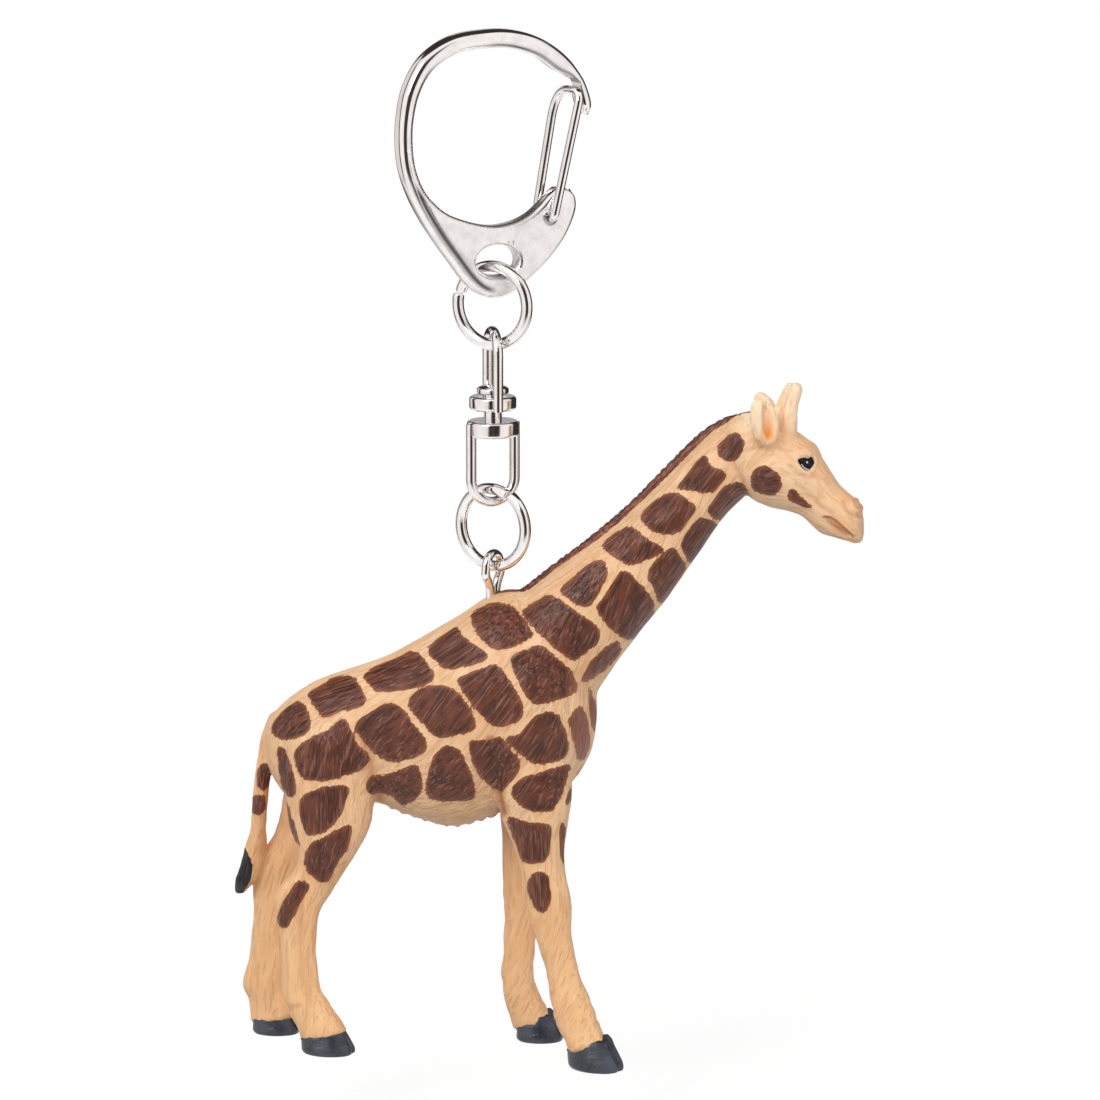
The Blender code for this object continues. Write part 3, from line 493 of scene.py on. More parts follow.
def placed(name, data):
    """An object in the scene for a mesh, lamp or camera."""
    made = bpy.data.objects.new(name, data)
    bpy.context.scene.collection.objects.link(made)
    return made


def solid(name, grids, sharp_angle=None):
    """An object of closed surfaces, each a grid of rings with a pole in the middle of both end rings."""
    points, faces, first = [], [], 0
    for grid in grids:
        rings, sides = grid.shape[:2]
        points += [grid.reshape(-1, 3), grid[0].mean(0)[None], grid[-1].mean(0)[None]]
        faces += closed_faces(rings, sides, first)
        first += rings * sides + 2
    mesh = bpy.data.meshes.new(name)
    mesh.from_pydata(np.vstack(points), [], faces)
    bm = bmesh.new()
    bm.from_mesh(mesh)
    bmesh.ops.recalc_face_normals(bm, faces=bm.faces)
    bm.to_mesh(mesh)
    bm.free()
    mesh.shade_smooth()
    if sharp_angle:
        mesh.set_sharp_from_angle(angle=math.radians(sharp_angle))
    return placed(name, mesh)


def finished(made):
    """The object with its modifiers worked into its mesh."""
    bpy.context.view_layer.update()
    shown = made.evaluated_get(bpy.context.evaluated_depsgraph_get())
    mesh = bpy.data.meshes.new_from_object(shown)
    made.modifiers.clear()
    made.data = mesh
    mesh.name = made.name
    return made


def read_rows(items, key, width, kind=float):
    """A value of each point or edge of a mesh, as an array of rows."""
    found = np.empty(len(items) * width, kind)
    items.foreach_get(key, found)
    return found.reshape(-1, width)


def points_of(mesh):
    """The mesh's points as an array of rows."""
    return read_rows(mesh.vertices, "co", 3)


def normals_of(mesh):
    """The mesh's point normals as an array of rows."""
    return read_rows(mesh.vertex_normals, "vector", 3)


def move_points(mesh, points):
    """Puts the points into the mesh."""
    mesh.vertices.foreach_set("co", np.ascontiguousarray(points, dtype=np.float32).ravel())
    mesh.update()


def remember(mesh, **kept):
    """Keeps values, or rows of three, for the mesh's points, under names by which materials read them."""
    for name, values in kept.items():
        kind, key = ("FLOAT", "value") if values.ndim == 1 else ("FLOAT_VECTOR", "vector")
        mesh.attributes.new(name, kind, "POINT").data.foreach_set(key, values.astype(np.float32).ravel())


def soft_step(low, high, values):
    """0 below low, 1 above high, and 3t^2 - 2t^3 between them."""
    t = np.clip((values - low) / (high - low), 0, 1)
    return t * t * (3 - 2 * t)


def lattice_noise(places):
    """Smooth noise from 0 to 1: hashed values at the corners of unit cells, blended by 3t^2 - 2t^3."""
    base = np.floor(places).astype(np.int64)
    t = places - base
    t = t * t * (3 - 2 * t)
    total = np.zeros(len(places))
    for corner in range(8):
        step = np.array([corner & 1, corner >> 1 & 1, corner >> 2 & 1])
        at = base + step
        mixed = at[:, 0] * 73856093 ^ at[:, 1] * 19349663 ^ at[:, 2] * 83492791
        value = (mixed * 2654435761 % 4294967296 >> 8) % 65536 / 65535
        total += value * np.prod(np.where(step == 1, t, 1 - t), axis=1)
    return total


# ---------------------------------------------------------------- camera and picture

def camera_axes():
    """The camera's own right, up and back, for its azimuth and elevation."""
    level, rise = math.cos(CAMERA_ELEVATION), math.sin(CAMERA_ELEVATION)
    c, s = math.cos(CAMERA_AZIMUTH), math.sin(CAMERA_AZIMUTH)
    back, right = np.array([s * level, -c * level, rise]), np.array([c, s, 0])
    return right, np.cross(back, right), back


def picture_place(points):
    """Where points of the giraffe show in the picture, in pixels to the right and down."""
    right, up, back = camera_axes()
    q = points - PAINT_TARGET
    depth = CAMERA_DISTANCE - q @ back
    half = PICTURE_WIDTH / 2
    return np.stack([half + LENS_PIXELS * (q @ right) / depth, half - LENS_PIXELS * (q @ up) / depth], -1)


def make_camera():
    """A long lens at the photograph's angle."""
    right, up, back = camera_axes()
    data = bpy.data.cameras.new("picture camera")
    data.sensor_width = SENSOR_MM
    data.lens = LENS_PIXELS / PICTURE_WIDTH * SENSOR_MM
    data.clip_start = 0.01
    data.clip_end = 50
    made = placed("picture camera", data)
    turn = Matrix((right, up, back)).transposed().to_4x4()
    made.matrix_world = Matrix.Translation(Vector(CAMERA_TARGET + back * CAMERA_DISTANCE)) @ turn
    bpy.context.scene.camera = made


def segment_distance(places, starts, ends):
    """The distance of each place from the nearest of some segments."""
    side = ends - starts
    away = places[:, None] - starts
    t = np.clip((away * side).sum(-1) / np.maximum((side ** 2).sum(-1), 1e-9), 0, 1)
    return np.linalg.norm(away - t[..., None] * side, axis=-1).min(1)


def outline_depth(places, outline, reach):
    """How far each place lies inside a closed outline, in pixels: negative outside, and at least -reach."""
    corners = smooth_rows(outline, 5, closed=True)
    low, high = corners.min(0) - reach, corners.max(0) + reach
    near = np.flatnonzero(((places > low) & (places < high)).all(1))
    found = np.full(len(places), -float(reach))
    if len(near) == 0:
        return found
    after = np.roll(corners, -1, 0)
    gap = segment_distance(places[near], corners, after)
    x, y = places[near].T[..., None]
    rising = (corners[:, 1] > y) != (after[:, 1] > y)
    drop = after[:, 1] - corners[:, 1]
    drop = np.where(np.abs(drop) < 1e-9, 1e-9, drop)
    crossing = rising & (x < corners[:, 0] + (y - corners[:, 1]) / drop * (after[:, 0] - corners[:, 0]))
    inside = crossing.sum(1) % 2 == 1
    found[near] = np.clip(np.where(inside, gap, -gap), -reach, reach)
    return found


def deepest(places, outlines):
    """How far each place lies inside the nearest of some closed outlines, in pixels, from -12 to 12."""
    return np.max([outline_depth(places, outline, 12) for outline in outlines], axis=0)


def line_distance(places, line):
    """The distance of each place from an open line, in pixels."""
    corners = smooth_rows(line, 4)
    return segment_distance(places, corners[:-1], corners[1:])


# ---------------------------------------------------------------- giraffe

def figure_points(x, y, z):
    """Points of the giraffe from cells: x ahead of the eye wire, y to its left, z above the soles."""
    x, y, z = np.broadcast_arrays(np.asarray(x, float), y, z)
    return np.stack([x * CELL + AHEAD, y * CELL, SOLE + z * CELL], -1)


def cells_of(points):
    """Points of the giraffe in cells, as figure_points takes them."""
    return (points[:, 0] - AHEAD) / CELL, points[:, 1] / CELL, (points[:, 2] - SOLE) / CELL


def arrows(x, y, z):
    """Vectors of the giraffe from cells."""
    return np.stack(np.broadcast_arrays(np.asarray(x, float), y, z), -1) * CELL


def upright_surface(rows, sides):
    """Torso or head: an upright superellipse at each x, from its top, bottom and half width."""
    x, top, bottom, width = smooth_rows(rows, 6).T
    return swept(figure_points(x, 0, (top + bottom) / 2), arrows(0, width, 0),
                 arrows(0, 0, (top - bottom) / 2), sides, 2.15)


def neck_surface():
    """The neck: ellipses square to its middle line."""
    x, z, depth, width = smooth_rows(NECK, 6).T
    centres = figure_points(x, 0, z)
    upwards = np.cross(tangents(centres), [0.0, 1.0, 0.0])
    return swept(centres, arrows(0, width, 0), upwards * depth[:, None] * CELL, 48)


def leg_surface(rows):
    """A leg: level superellipses down its middle line."""
    x, y, z, length, width = smooth_rows(rows, 6).T
    return swept(figure_points(x, y, z), arrows(length, 0, 0), arrows(0, width, 0), 40, 2.2)


def round_surface(rows):
    """A tail or horn: circles square to its middle line."""
    x, y, z, radius = smooth_rows(rows, 6).T
    centres = figure_points(x, y, z)
    ahead = tangents(centres)
    side = unit(np.array([0.0, 1.0, 0.0]) - ahead * ahead[:, 1:2])
    return swept(centres, side * radius[:, None] * CELL, np.cross(ahead, side) * radius[:, None] * CELL, 28)


def ear_surface(mirror, shift=(0, 0)):
    """An ear: flat level ellipses that form a leaf, turned to face ahead and outwards."""
    x, y, z, width, thickness = smooth_rows(EAR, 6).T
    c, s = cos_sin(EAR_TURN)
    across = arrows(width * c, width * mirror * s, 0)
    through = arrows(thickness * -mirror * s, thickness * c, 0)
    return swept(figure_points(x + shift[0], mirror * y, z + shift[1]), across, through, 32)


def mane_base():
    """The mane's root: low upright ellipses along the top of the neck."""
    x, z, height, thickness = smooth_rows(MANE, 6).T
    return swept(figure_points(x, 0, z - height), arrows(0, thickness, 0), arrows(0, 0, height), 24)


def near_place(points):
    """Points brought to the near side: mirrored, and the far legs moved level with the near ones."""
    x, y, z = cells_of(points)
    near_hind, far_hind, near_front, far_front = (
        np.interp(z, *np.array(rows)[::-1, [2, 0]].T)
        for rows in (NEAR_HIND, FAR_HIND, NEAR_FRONT, FAR_FRONT))
    shift = np.where(x < -120, near_hind - far_hind, near_front - far_front) * soft_step(400, 310, z)
    on_tail = tail_share(points) > 0.5
    moved = points.copy()
    far = (y > 0) & ~on_tail
    moved[far, 0] += shift[far] * CELL
    moved[far, 1] *= -1
    return moved, on_tail


def nearest_gap(points, line):
    """The distance of each point from the nearest point of a line."""
    return np.linalg.norm(points[:, None] - line[None], axis=-1).min(1)


def tail_share(points):
    """1 on the tail and 0 off it, from the distance to the tail's middle line."""
    line = figure_points(*smooth_rows(TAIL, 3)[1:, :3].T)
    return soft_step(19, 15, nearest_gap(points, line) / CELL) * soft_step(414, 396, cells_of(points)[2])


def hair_angle(places):
    """The way the hair lies at each place: the rows of HAIR blended by nearness, as a doubled angle."""
    step = 10.0
    across_px = np.arange(200, 900, step)
    down_px = np.arange(350, 1100, step)
    gx, gy = np.meshgrid(across_px, down_px, indexing="ij")
    rows = np.array(HAIR, float)
    gap = (gx[..., None] - rows[:, 0]) ** 2 + (gy[..., None] - rows[:, 1]) ** 2
    weight = 1 / (gap + 120) ** 2
    angle = np.radians(rows[:, 2]) * 2
    fields = ((weight * np.cos(angle)).sum(-1), (weight * np.sin(angle)).sum(-1))
    scale = weight.sum(-1)
    u = np.clip((places[:, 0] - across_px[0]) / step, 0, len(across_px) - 1.001)
    v = np.clip((places[:, 1] - down_px[0]) / step, 0, len(down_px) - 1.001)
    i, j = u.astype(int), v.astype(int)
    u, v = u - i, v - j
    found = []
    for field in fields:
        field = field / scale
        low = field[i, j] * (1 - v) + field[i, j + 1] * v
        high = field[i + 1, j] * (1 - v) + field[i + 1, j + 1] * v
        found.append(low * (1 - u) + high * u)
    found = np.stack(found + [0 * u], -1)
    return unit(found)


def combed_noise(points, comb, length, spacing, shift):
    """Noise drawn out along the hair, about 0: fixed directions in XZ, blended by the doubled angle comb.

    Direction k lies at a = 180 k / HAIR_WAYS degrees, its weight w is a soft step of comb . (cos 2a, sin 2a)
    up to 1, and the sum of w noise is divided by the root of the sum of w squared.
    """
    total, power = np.zeros(len(points)), np.full(len(points), 1e-6)
    x, y, z = points.T / MM
    for k in range(HAIR_WAYS):
        a = math.pi * k / HAIR_WAYS
        weight = soft_step(HAIR_FADE, 1.0, comb[:, 0] * math.cos(2 * a) + comb[:, 1] * math.sin(2 * a))
        along = x * math.cos(a) + z * math.sin(a)
        across = z * math.cos(a) - x * math.sin(a)
        places = np.stack([along / length, y / spacing, across / spacing], -1) + shift + NOISE_STEP * k
        total += weight * (lattice_noise(places) - 0.5)
        power += weight ** 2
    return total / np.sqrt(power)


def relax(points, edges, share, rounds):
    """Moves each point towards the middle of its neighbours by its share, a number of times."""
    count = np.bincount(edges.ravel(), minlength=len(points))[:, None]
    for _ in range(rounds):
        total = np.zeros_like(points)
        for axis in range(3):
            total[:, axis] = np.bincount(edges[:, 0], points[edges[:, 1], axis], len(points))
            total[:, axis] += np.bincount(edges[:, 1], points[edges[:, 0], axis], len(points))
        points = points + (total / np.maximum(count, 1) - points) * share[:, None]
    return points


def level_out(points, edges, rounds):
    """Smoothing that keeps thickness: a step of 0.5 inwards, then one of 0.53 back outwards."""
    whole = np.ones(len(points))
    for _ in range(rounds):
        points = relax(points, edges, whole * 0.5, 1)
        points = relax(points, edges, whole * -0.53, 1)
    return points


def edges_of(mesh):
    """The mesh's edges as rows of two point numbers."""
    return read_rows(mesh.edges, "vertices", 2, np.int64)


def fused_skin():
    """The members' surfaces fused by a fine voxel skin, with the head's faces cut once more."""
    grids = [upright_surface(TORSO, 72), neck_surface(), upright_surface(HEAD, 56)]
    grids += [leg_surface(rows) for rows in (NEAR_HIND, FAR_HIND, NEAR_FRONT, FAR_FRONT)]
    grids += [round_surface(TAIL), mane_base()]
    grids += [ear_surface(1), ear_surface(-1, FAR_EAR_SHIFT)]
    grids += [round_surface(NEAR_HORN), round_surface(FAR_HORN)]
    skin = solid("giraffe_skin", grids)
    fuse = skin.modifiers.new("fuse", "REMESH")
    fuse.mode = "VOXEL"
    fuse.voxel_size = SKIN_VOXEL * MM
    finished(skin)
    bm = bmesh.new()
    bm.from_mesh(skin.data)
    ahead, _, above = figure_points(FACE_FROM[0], 0, FACE_FROM[1])
    chosen = [edge for edge in bm.edges if all(v.co.x > ahead and v.co.z > above for v in edge.verts)]
    bmesh.ops.subdivide_edges(bm, edges=chosen, cuts=1, use_grid_fill=True)
    bm.to_mesh(skin.data)
    bm.free()
    skin.data.shade_smooth()
    return skin


def tuck_under_hooves(points):
    """Draws the skin's leg ends in, so that they end inside the hooves."""
    points = points.copy()
    for _, x, y, length, _, turn, toe, heel, lean in HOOVES:
        c, s = cos_sin(turn)
        back = lean * np.clip(cells_of(points)[2] / toe, 0, 1)
        middle = figure_points(x - back * c, y - back * s, 0)
        q = (points - middle) / CELL
        ahead = (q[:, 0] * c + q[:, 1] * s) / length
        near = (np.abs(q[:, 0]) < 60) & (np.abs(q[:, 1]) < 45) & (q[:, 2] < 60)
        lip = heel + (toe - heel) * np.clip((ahead + 1) / 2, 0, 1)
        share = np.where(near, soft_step(lip - 1, lip - 7, q[:, 2]), 0)
        points[:, :2] += (middle[:, :2] - points[:, :2]) * (share * 0.26)[:, None]
    points[:, 2] = np.maximum(points[:, 2], SOLE + 4 * CELL)
    return points


def pressed_shapes(places, outwards):
    """Muscles, creases and the face: the rise at each place in mm, its dents' shade and the ear's hollow."""
    facing = soft_step(0.35, -0.05, outwards)
    rise, cavity = np.zeros(len(places)), np.zeros(len(places))
    for px, py, wide, high, turn, amount in MUSCLES:
        c, s = cos_sin(turn)
        dx, dy = (places - (px, py)).T
        u, v = (dx * c - dy * s) / wide, (dx * s + dy * c) / high
        rise += amount * np.exp(-(u * u + v * v) * 1.2) * facing
    for depth, width, line in CREASES:
        dent = bell(line_distance(places, line), width) * facing
        rise -= depth * dent
        cavity = np.maximum(cavity, dent * depth * 2.4)
    eye = outline_depth(places, EYE_OUTLINE, 9)
    rise += (0.14 * bell(eye + 2.0, 1.5) - 0.12 * soft_step(-1.0, 1.5, eye)) * facing
    hollow = soft_step(-1.5, 2.5, outline_depth(places, EAR_HOLLOW, 6)) * soft_step(0.1, -0.4, outwards)
    gape = soft_step(-1.2, 1.2, outline_depth(places, MOUTH_GAPE, 5)) * facing
    lips = bell(line_distance(places, MOUTH), 1.3) * facing
    rise -= 0.62 * hollow + 0.30 * gape + 0.22 * lips
    cavity = np.maximum(cavity, np.maximum(0.9 * lips, 0.55 * gape))
    *nostril, radius, width, amount = NOSTRIL_RIM
    rise += amount * bell(np.hypot(*(places - nostril).T) - radius, width) * facing
    return rise, cavity, hollow


def hair_rise(points, comb, z, head):
    """How far the combed hair rises at each point in mm: more on the low legs and less on the head."""
    low_legs = soft_step(330, 230, z)
    calm = 1 - 0.62 * head
    return sum(combed_noise(points, comb, length, spacing, shift) * (depth + more * low_legs) * calm
               for length, spacing, shift, depth, more in HAIR_RELIEF)


def fringe_rise(points, normals, z):
    """How far the locks of the fringe under the belly rise at each point, in mm."""
    x, aside = points[:, 0] / MM, np.abs(points[:, 1]) / MM
    share = soft_step(-0.45, -0.85, normals[:, 2]) * soft_step(-15.0, -12.5, x)
    share *= soft_step(3.5, 1.0, x) * soft_step(380, 330, z) * soft_step(2.2, 1.2, aside)
    beads = 0.5 + 0.5 * np.sin(x * math.tau / BELLY_LOCK + 2.2 * lattice_noise(points / MM / 2.5))
    return share * (0.34 * beads - 0.10)


def build_skin():
    """The giraffe's painted skin, its surface pressed with all that shows, and its paint's outlines."""
    skin = fused_skin()
    mesh = skin.data
    points = points_of(mesh)
    edges = edges_of(mesh)
    x, _, z = cells_of(points)
    head = soft_step(296, 312, x) * soft_step(664, 676, z)
    points = level_out(points, edges, 12)
    thick = soft_step(330, 360, z) * (1 - tail_share(points)) * (1 - 0.6 * head) * soft_step(800, 780, z)
    points = relax(points, edges, thick * 0.5, 6)
    move_points(mesh, points)
    normals = normals_of(mesh)
    near, on_tail = near_place(points)
    on_tail_soft = tail_share(points)
    mirrored = near[:, 1] * points[:, 1] < 0
    outwards = np.where(mirrored, -normals[:, 1], normals[:, 1])
    places = picture_place(near)
    comb = hair_angle(places)
    rise, cavity, hollow = pressed_shapes(places, outwards)
    rise = rise + hair_rise(points, comb, z, head) + fringe_rise(points, normals, z)
    move_points(mesh, tuck_under_hooves(points + normals * (rise * MM)[:, None]))

    inner = soft_step(0.15, 0.5, outwards) * soft_step(430, 380, z)
    aside = np.abs(points[:, 1]) / MM
    behind = soft_step(-205, -235, x) * soft_step(3.0, 1.2, aside) * soft_step(280, 320, z)
    bare = np.maximum(np.maximum(inner, behind), soft_step(0.05, 0.4, on_tail_soft))
    spot = np.where(on_tail, deepest(places, TAIL_BANDS), deepest(places, SPOTS) - 16 * bare)
    tuft = np.where(on_tail_soft > 0.05, outline_depth(places, TAIL_TUFT, 12), -12)
    mane_x, mane_z, _, _ = smooth_rows(MANE, 4).T
    # glow: orange painted light shining through the thin ear, deeper towards the bottom of its hollow, with
    # the face's orange tints
    glow = hollow * (0.25 + 0.75 * soft_step(836, 808, z))
    for px, py, wide, high, amount in WARM_PLACES:
        glow = np.maximum(glow, amount * bell(places[:, 0] - px, wide) * bell(places[:, 1] - py, high))
    chest = soft_step(96, 116, x) * soft_step(520, 480, z) * soft_step(330, 380, z)
    remember(
        mesh, comb=comb, spot=spot / 8, tuft=tuft / 8, thin=0.55 * chest, glow=glow,
        # The crease mask is painted shade in the creases, along the lips and in the mouth.
        cavity=np.clip(cavity, 0, 1),
        mane=0.92 - nearest_gap(points, figure_points(mane_x, 0, mane_z)) / MM,
        # warm: more orange low legs and tail; pale: paler ears and horns; on tail, legs and ears partly
        # painted light through thin PVC
        warm=np.maximum(0.62 * soft_step(330, 180, z), 0.55 * on_tail_soft),
        pale=np.maximum(0.90 * soft_step(796, 824, z) * soft_step(300, 320, x), 0.14 * head),
        rough=(0.55 + 0.45 * soft_step(-3, 1, np.maximum(spot, tuft))) * (1 - 0.25 * head),
    )
    return skin


def build_mane():
    """The mane: a half-round ridge on the neck, its crest and sides cut into slanting locks."""
    x, z, height, thickness = smooth_rows(MANE, 60).T
    centres = figure_points(x, 0, z - height)
    run = np.concatenate([[0], np.cumsum(np.linalg.norm(np.diff(centres, axis=0), axis=1))])[:, None] / MM
    upwards = unit(np.cross(tangents(centres), [0.0, 1.0, 0.0]))
    angle = round_angles(28)[None, :] + 0 * run
    c, s = np.cos(angle), np.sin(angle)
    lift = np.clip(s, 0, 1)
    shift = 0.9 * lift + 0.15 * np.sin(run * 0.7)
    lock = np.abs(np.sin((run - shift) * math.pi / MANE_LOCK + 0.5 * np.sin(run * 1.9)))
    cut = np.stack([(run - 1.2 * lift) / 0.28, c, lift * 1.5], -1)
    fine = lattice_noise(cut.reshape(-1, 3)).reshape(lock.shape)
    ends = soft_step(0, 1.6, run) * soft_step(run[-1], run[-1] - 1.6, run)
    grow = (0.97 + 0.08 * lock + 0.10 * fine) * (0.4 + 0.6 * ends) * CELL
    wide, tall = (thickness * 1.02)[:, None] * c * grow, height[:, None] * s * grow
    grid = centres[:, None] + wide[..., None] * np.array([0, 1, 0]) + tall[..., None] * upwards[:, None]
    mane = solid("mane_ridge", [grid])
    comb = hair_angle(picture_place(near_place(points_of(mane.data))[0]))
    share = 0.55 + 0.9 * np.append(lift, [0, 0])
    remember(mane.data, comb=comb, mane=share, lock=np.append(lock, [0.5, 0.5]))
    return mane


def build_hoof(name, x, y, length, width, turn, toe, heel, lean):
    """A cloven hoof: superellipse rings that shrink and lean back from the sole to a sloping top edge."""
    height, foot = smooth_rows(HOOF_WALL, 6).T[..., None]
    angle = round_angles(96)
    c, s = superellipse(angle, 2.1, 2.3)
    wide_angle = np.where(angle > math.pi, angle - math.tau, angle)
    cleft = 0.20 * bell(wide_angle, 0.09) * soft_step(1.15, 0.75, height)
    cleft = cleft + 0.10 * bell(np.abs(wide_angle) - math.pi, 0.16)
    rim = 0.025 * bell(height - 0.93, 0.06)
    waves = 0.010 * np.sin(3 * wide_angle + 1.3) + 0.008 * np.sin(7 * wide_angle)
    foot = foot * (1 - cleft + rim + waves)
    rising = toe * (0.5 + 0.5 * np.cos(angle)) + heel * (0.5 - 0.5 * np.cos(angle))
    edge = 1 + 0.05 * np.sin(5 * angle + 0.6) + 0.03 * np.sin(9 * angle)
    up = height * (rising * np.where(height > 0.5, edge, 1))
    ahead = c * length * foot - lean * up / toe
    aside = s * width * foot
    c, s = cos_sin(turn)
    return solid(f"{name}_hoof", [figure_points(x + ahead * c - aside * s, y + ahead * s + aside * c, up)])


def place_eyeballs(skin):
    """Both eyes, each a dome set on the skin where the picture shows it."""
    points, normals = points_of(skin.data), normals_of(skin.data)
    outline = smooth_rows(EYE_OUTLINE, 6, closed=True)
    middle = outline.mean(0)
    outline = outline - middle
    gap = np.linalg.norm(picture_place(points) - middle, axis=1) + np.where(normals[:, 1] < -0.3, 0, 1e3)
    close = np.argsort(gap)[:40]
    centre, normal = points[close].mean(0), unit(normals[close].mean(0))
    right, up, _ = camera_axes()
    wide = unit(right - normal * (right @ normal))
    high = np.cross(normal, wide)
    plane = np.stack([wide, high * np.sign(high @ up)])
    corner = picture_place(centre[None])[0]
    to_plane = np.linalg.inv(picture_place(centre + plane * MM) - corner) * MM
    centre = centre + (middle - corner) @ to_plane @ plane
    flat = outline @ to_plane
    dome_rings = np.linspace(1.0, 0.06, 18)
    rings = np.append(0.9, dome_rings)[:, None, None]
    dome = np.append(-0.4, 0.34 * np.sqrt(np.clip(1 - dome_rings ** 2, 0, 1)) - 0.06)[:, None, None] * MM
    grid = centre + rings * (flat @ plane) + dome * normal
    lower = np.arctan2(-flat[:, 1], flat[:, 0])
    # rim and glint are painted highlights: a pale line along the lower edge and a small glint.
    rim = bell(rings[..., 0] - 0.83, 0.055) * soft_step(1.0, 1.4, lower) * soft_step(3.0, 2.6, lower)
    glint = soft_step(1.3, 0.6, np.linalg.norm(rings * outline + middle - EYE_GLINT, axis=-1))
    eyes = []
    for name, side in (("right_eye", 1), ("left_eye", -1)):
        eye = solid(name, [grid * [1, side, 1]])
        remember(eye.data, rim=np.append(rim, [0, 0]), glint=np.append(glint, [0, 0]))
        eyes.append(eye)
    return eyes


# ---------------------------------------------------------------- metal pieces

def heights(box):
    """The bottom and the top of a box, in mm."""
    return box[0].z / MM, box[1].z / MM


def turned(points, yaw, height=0.0):
    """Points in mm, turned by degrees round the chain's line and lifted, as points of the key ring."""
    c, s = cos_sin(yaw)
    x, y, z = points[..., 0], points[..., 1], points[..., 2]
    return np.stack([x * c - y * s, x * s + y * c, z + height], -1) * MM


def upright(x, z, y=0.0):
    """Points in mm from x and z in a piece's own upright plane."""
    return np.stack(np.broadcast_arrays(x, y, z), -1)


def bar(path, width, aside, sides=WIRE_SIDES):
    """A round bar of some width: circles square to the path, turned to the direction aside."""
    ahead = tangents(path)
    across = unit(aside - ahead * (ahead @ aside)[:, None])
    return swept(path, across * width / 2, np.cross(ahead, across) * width / 2, sides)


def soft_corners(corners, radius, steps):
    """A path whose corners become quadratic curves that start and end radius from the corner."""
    corners = np.asarray(corners, float)
    before, corner, after = corners[:-2], corners[1:-1], corners[2:]
    radius = np.broadcast_to(np.asarray(radius, float), len(corner))[:, None]
    back = np.linalg.norm(before - corner, axis=1)[:, None]
    on = np.linalg.norm(after - corner, axis=1)[:, None]
    start = corner + (before - corner) / back * np.minimum(radius, back / 2)
    end = corner + (after - corner) / on * np.minimum(radius, on / 2)
    t = np.linspace(0, 1, steps)[None, :, None]
    curves = start[:, None] * (1 - t) ** 2 + corner[:, None] * 2 * t * (1 - t) + end[:, None] * t ** 2
    return np.vstack([corners[:1], curves.reshape(-1, 3), corners[-1:]])


def hook_surface():
    """The hook: a rounded box section carried from nose to heel, as wide as the two edges are apart."""
    rows = smooth_rows(HOOK_EDGES, 10)
    outer, inner = upright(rows[:, 0], rows[:, 1]), upright(rows[:, 2], rows[:, 3])
    half = np.linalg.norm(outer - inner, axis=1)[:, None] / 2
    across = (outer - inner) / (2 * half)
    share = (np.arange(len(rows)) / (len(rows) - 1))[:, None]
    thick = HOOK_HALF_THICKNESS - 0.15 * soft_step(0.45, 0.62, share)
    thick = thick * (0.55 + 0.45 * soft_step(0, 0.03, share)) * (0.75 + 0.25 * soft_step(1, 0.975, share))
    corner = HOOK_CORNER + (BOW_CORNER - HOOK_CORNER) * soft_step(0.56, 0.44, share)
    corner = np.minimum(corner, np.minimum(half, thick) * 0.96)
    first, last = np.linspace(0, 1, len(HOOK_EDGES))[VALLEY_ROWS][[0, -1]]
    valley = soft_step(first - 0.04, first + 0.04, share) * soft_step(last + 0.02, last - 0.03, share)
    gap, width, depth = VALLEY
    quarter = np.linspace(0, math.pi / 2, 9)
    flat = 2 * (half - corner)
    steps = np.minimum(np.array(EDGE_STEPS) / flat, np.linspace(0.05, 0.6, len(EDGE_STEPS)))
    steps = np.hstack([steps, steps[:, -1:] + (1 - steps[:, -1:]) * np.linspace(0, 1, 6)[1:-1]])
    u, v = [], []
    for turn, side_u, side_v in ((0, 1, 1), (1, -1, 1), (2, -1, -1), (3, 1, -1)):
        angle = quarter + turn * math.pi / 2
        u.append(side_u * (half - corner) + corner * np.cos(angle))
        v.append(side_v * (thick - corner) + corner * np.sin(angle))
        if turn in (0, 2):
            place = half - corner - (steps * flat)[:, ::side_u]
            u.append(place)
            v.append(side_v * (thick - depth * valley * bell(half - place - gap, width)))
    u, v = np.hstack(u)[..., None], np.hstack(v)[..., None]
    return (outer + inner)[:, None] / 2 + u * across[:, None] - v * np.array([0.0, 1.0, 0.0])


def cutter(name, grid):
    """A closed surface that is only there to be cut out of the hook."""
    made = solid(name, [turned(grid, HOOK_YAW)])
    made.hide_render = True
    return made


def round_cutter(name, x, z, start, end, radius):
    """A straight round cutter through the hook at x and z, from one depth to another."""
    return cutter(name, bar(upright(x, z, np.linspace(start, end, 3)), 2 * radius, (1, 0, 0), 48))


def hole_cutter():
    """The ring's hole: ellipses that flare as quarter circles at the faces, and over the web parabolic."""
    depth = np.concatenate([[-2.2], np.linspace(-1.25, 1.25, 21), [2.2]])
    rise = np.clip((np.abs(depth) - 0.7) / 0.55, 0, 1)
    flare = HOLE_FLARE * (1 - np.sqrt(np.clip(1 - rise ** 2, 0, 1)))
    drop = np.maximum(WEB_ROUNDING * np.minimum(np.abs(depth), 1.3) ** 2 - flare, 0)
    centres = upright(HOLE_CENTRE[0], HOLE_CENTRE[1] - drop / 2, depth)
    across, upwards = upright(HOLE_HALF_WIDTH + flare, 0), upright(0, HOLE_HALF_HEIGHT + flare + drop / 2)
    return cutter("ring hole cut", swept(centres, across, upwards, 96))


def edge_line(places, rows, columns, gap, width):
    """A soft line along some rows of one of the hook's edges, a gap away from it."""
    edge = smooth_rows(HOOK_EDGES, 4)[rows.start * 4:rows.stop * 4, columns]
    return bell(line_distance(places, edge) - gap, width)


